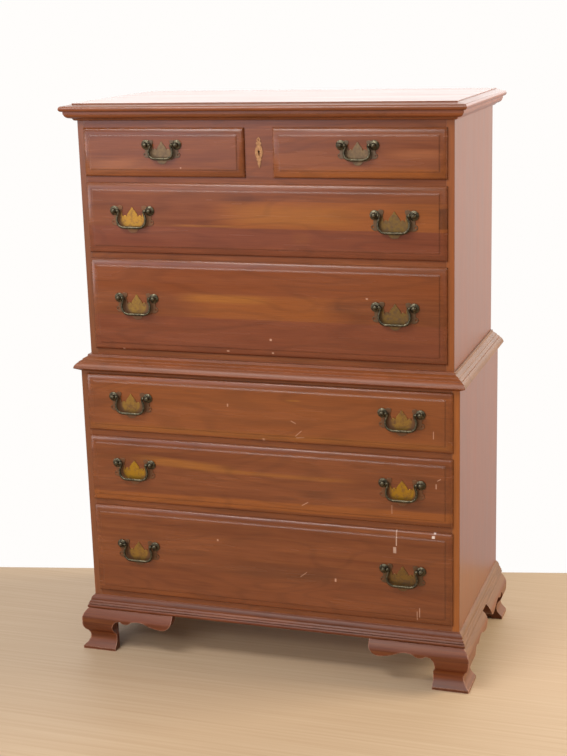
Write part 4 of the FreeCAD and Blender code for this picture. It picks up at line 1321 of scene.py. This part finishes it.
# What shows on each drawer front, in the row frame's x and z: broad tones, then worn spots.
FRONT_TONES = {
    "small_left_drawer": (
        BoardTone("#9A5C34", (-425, -290), (1226, 1252), (50, 7), 0.6, 14, 0.04),
        worn_spot(-190, 1221, 3, 3)),
    "small_right_drawer": (
        BoardTone(ORANGE, (60, 430), (1202, 1224), (60, 7), 0.8, 6),
        BoardTone("#9C5C34", (320, 428), (1246, 1264), (36, 6), 0.45, 6)),
    "upper_middle_drawer": (
        BoardTone(RED, (-440, 440), (1010, 1083), (10, 1.5), 0.5, 0),
        BoardTone(ORANGE, (-90, 440), (1083, 1146), (60, 1.5), 0.9, 0),
        BoardTone(GOLD, (-60, 220), (1090, 1134), (70, 12), 0.5, 26),
        BoardTone(DARK, (-70, 10), (1143, 1158), (36, 6), 0.5, 6),
        BoardTone(DARK, (419, 440), (1090, 1136), (1, 2), 0.7, 0),
        BoardTone(GOLD, (-210, -60), (1085, 1089), (30, 1.6), 0.5, 0),
        BoardTone(GOLD, (80, 120), (1050, 1074), (14, 8), 0.12, 8)),
    "upper_bottom_drawer": (
        BoardTone("#7C3E18", (-440, 440), (925, 990), (20, 12), 0.7, 18),
        BoardTone(ORANGE, (-170, 170), (868, 926), (60, 6), 0.8, 10),
        BoardTone(GOLD, (-190, 0), (906, 924), (46, 5), 0.65, 10),
        BoardTone(DARK, (160, 225), (894, 916), (30, 8), 0.45, 8),
        BoardTone(RED, (-440, 440), (775, 868), (20, 1.5), 0.45, 0),
        worn_spot(252, 928, 5, 3), worn_spot(18, 822, 5, 5), worn_spot(-90, 790, 6, 3),
        worn_spot(-360, 783, 5, 3), worn_spot(22, 790, 5, 4)),
    "lower_top_drawer": (
        BoardTone(ORANGE, (-400, 460), (590, 716), (60, 16), 0.45, 30),
        BoardTone(GOLD, (60, 92), (682, 686), (8, 1.5), 0.6, 4),
        BoardTone(GOLD, (-460, 460), (585, 600), (60, 5), 0.35, 6),
        worn_spot(-87, 664, 3, 7), worn_spot(88, 605, 16, 1.6, 0.9),
        worn_spot(92, 595, 20, 1.4, 0.1), worn_spot(76, 632, 12, 2, -0.5),
        worn_spot(0, 583, 5, 8), worn_spot(411, 622, 1.6, 18)),
    "lower_middle_drawer": (
        BoardTone(GOLD, (-310, -100), (488, 507), (60, 5), 0.65, 12, -0.045),
        BoardTone(GOLD, (-120, 200), (494, 502), (60, 4), 0.5, 8, -0.01),
        BoardTone(ORANGE, (-460, 460), (407, 430), (20, 3), 0.95, 6, 0.012),
        BoardTone(DARK, (96, 170), (446, 466), (26, 8), 0.45, 8),
        BoardTone(DARK, (330, 440), (436, 448), (40, 4), 0.35, 6),
        worn_spot(100, 432, 16, 1.8, 0.6), worn_spot(417, 500, 2.4, 12),
        worn_spot(424, 516, 8, 2, 0.6), worn_spot(312, 436, 2, 22, 0, share=0.35)),
    "lower_bottom_drawer": (
        BoardTone(DARK, (-60, 190), (234, 268), (70, 16), 0.5, 16),
        BoardTone(ORANGE, (-330, -190), (160, 172), (50, 5), 0.6, 8),
        BoardTone("#7A3F1E", (-460, 460), (150, 232), (40, 20), 0.35, 26),
        worn_spot(322, 366, 2.2, 38, 0, RAW), worn_spot(318, 336, 7, 15, 0, RAW, 0.5),
        worn_spot(410, 375, 7, 6, 0, CHALK, 0.8), worn_spot(413, 384, 5, 4, 0, CHALK, 0.7),
        worn_spot(-126, 320, 4, 5), worn_spot(172, 246, 4, 8), worn_spot(92, 252, 16, 1.6, 0.8),
        worn_spot(377, 184, 1.8, 24), worn_spot(371, 176, 1.6, 22)),
}
# Front edges of the right-hand sides, where less stain took.
EDGE_TONES = (BoardTone("#9C531A", (434, 451), (765, 1330), (0.6, 4), 0.55, 0),
              BoardTone("#A65C1C", (453, 469), (141, 728), (0.6, 4), 0.65, 0))
# Right-hand runs of the mouldings and feet, paler than the fronts: partly dust, partly painted
# sheen of the lit right side.
WAIST_DUST_AND_SHEEN = (BoardTone("#7C5836", (440, 520), (722, 772), (4, 3), 0.75, 0, 0, True),)
BASE_DUST_AND_SHEEN = (BoardTone("#80603E", (440, 520), (92, 142), (4, 4), 0.6, 0, 0, True),
              BoardTone("#80583C", (470, 520), (0, 92), (5, 8), 0.5, 0, 0, True))

# Rails and stile: the fronts' stain, with streaks that don't run on from theirs.
RAIL = replace(STAINED, name="varnished_cherry_rail", seed=2.0)
# Side boards: upright grain, quiet and evenly glossy, so that a lamp shows as one broad pale sheen.
SIDE = replace(STAINED, name="varnished_cherry_side", light="#7E4524", deep="#73401F",
               grain=Grain.UPRIGHT, streak_share=0.2, flame_depth=0.06, roughness=0.3,
               gloss_spread=(-0.02, 0.03), relief_depth=0.05, varnish=0.55, seed=4.0,
               tones=EDGE_TONES)
# Mouldings and top board: redder from end grain on their curves, pale along their rubbed reeds.
MOULDING = replace(STAINED, name="varnished_cherry_moulding", grain=Grain.ROUND,
                   light="#88461F", deep="#6E3815", seed=6.0, roughness=0.31, worn=0.35)
# Waist moulding: dusted dull, so that its cove shows a broad weak gloss; its right-hand run takes
# the painted sheen.
WAIST = replace(MOULDING, name="varnished_cherry_waist", roughness=0.4, varnish=0.38,
                tones=WAIST_DUST_AND_SHEEN)
# Base moulding: darker colour that is painted shade near the floor, and duller still; its
# right-hand run takes the painted sheen.
BASE = replace(MOULDING, name="varnished_cherry_base", light="#6F3517", deep="#56290F",
               roughness=0.42, varnish=0.32, worn=0.3, tones=BASE_DUST_AND_SHEEN)
# Feet: as the base, its painted shade and sheen included, with wide pale edges where brooms and
# shoes have knocked them.
FEET = replace(BASE, name="varnished_cherry_feet", worn=0.9, worn_mm=3.2)
# Finish of the straight boards by their material slot.
FLAT = {"side_wood": SIDE, "rail_wood": RAIL,
        "inner_wood": BareWood("bare_poplar", "#C9AC80", "#AE8E62", Grain.DEEP),
        "back_wood": BareWood("bare_plywood", "#B08D62", "#93714A", Grain.UPRIGHT)}
# Material slot and finish of the curved nodes of the case.
SHAPED = {"top_board": ("top_wood", MOULDING), "cornice_moulding": ("moulding_wood", MOULDING),
          "waist_moulding": ("moulding_wood", WAIST), "base_moulding": ("moulding_wood", BASE),
          "front_feet": ("foot_wood", FEET), "rear_feet": ("foot_wood", FEET)}


def main() -> None:
    """Builds the studio and dresses every piece of the chest."""
    logging.basicConfig(level=logging.INFO, format="%(message)s")
    Studio().build()
    case = CaseWork()
    flat = {slot: finish.build() for slot, finish in FLAT.items()}
    curved = {finish: finish.build() for finish in (MOULDING, WAIST, BASE, FEET)}
    for part in frame["record"]["subparts"]:
        if part["material_slot"] in flat:
            case.dress(part["node"], flat[part["material_slot"]])
    for node, (slot, finish) in SHAPED.items():
        case.shape(node, "case", slot, curved[finish])
    for number, (drawer, tones) in enumerate(FRONT_TONES.items()):
        finish = replace(STAINED, name=f"varnished_cherry_{drawer}", tones=tones,
                         seed=FRONT_SEED + number, edge_mm=FRONT_EDGE_MM)
        case.shape(f"{drawer}_front", drawer, "front_wood", finish.build())
    PullMaker().build(PULLS)
    KeyPlate().build()


if __name__ == "__main__":
    main()
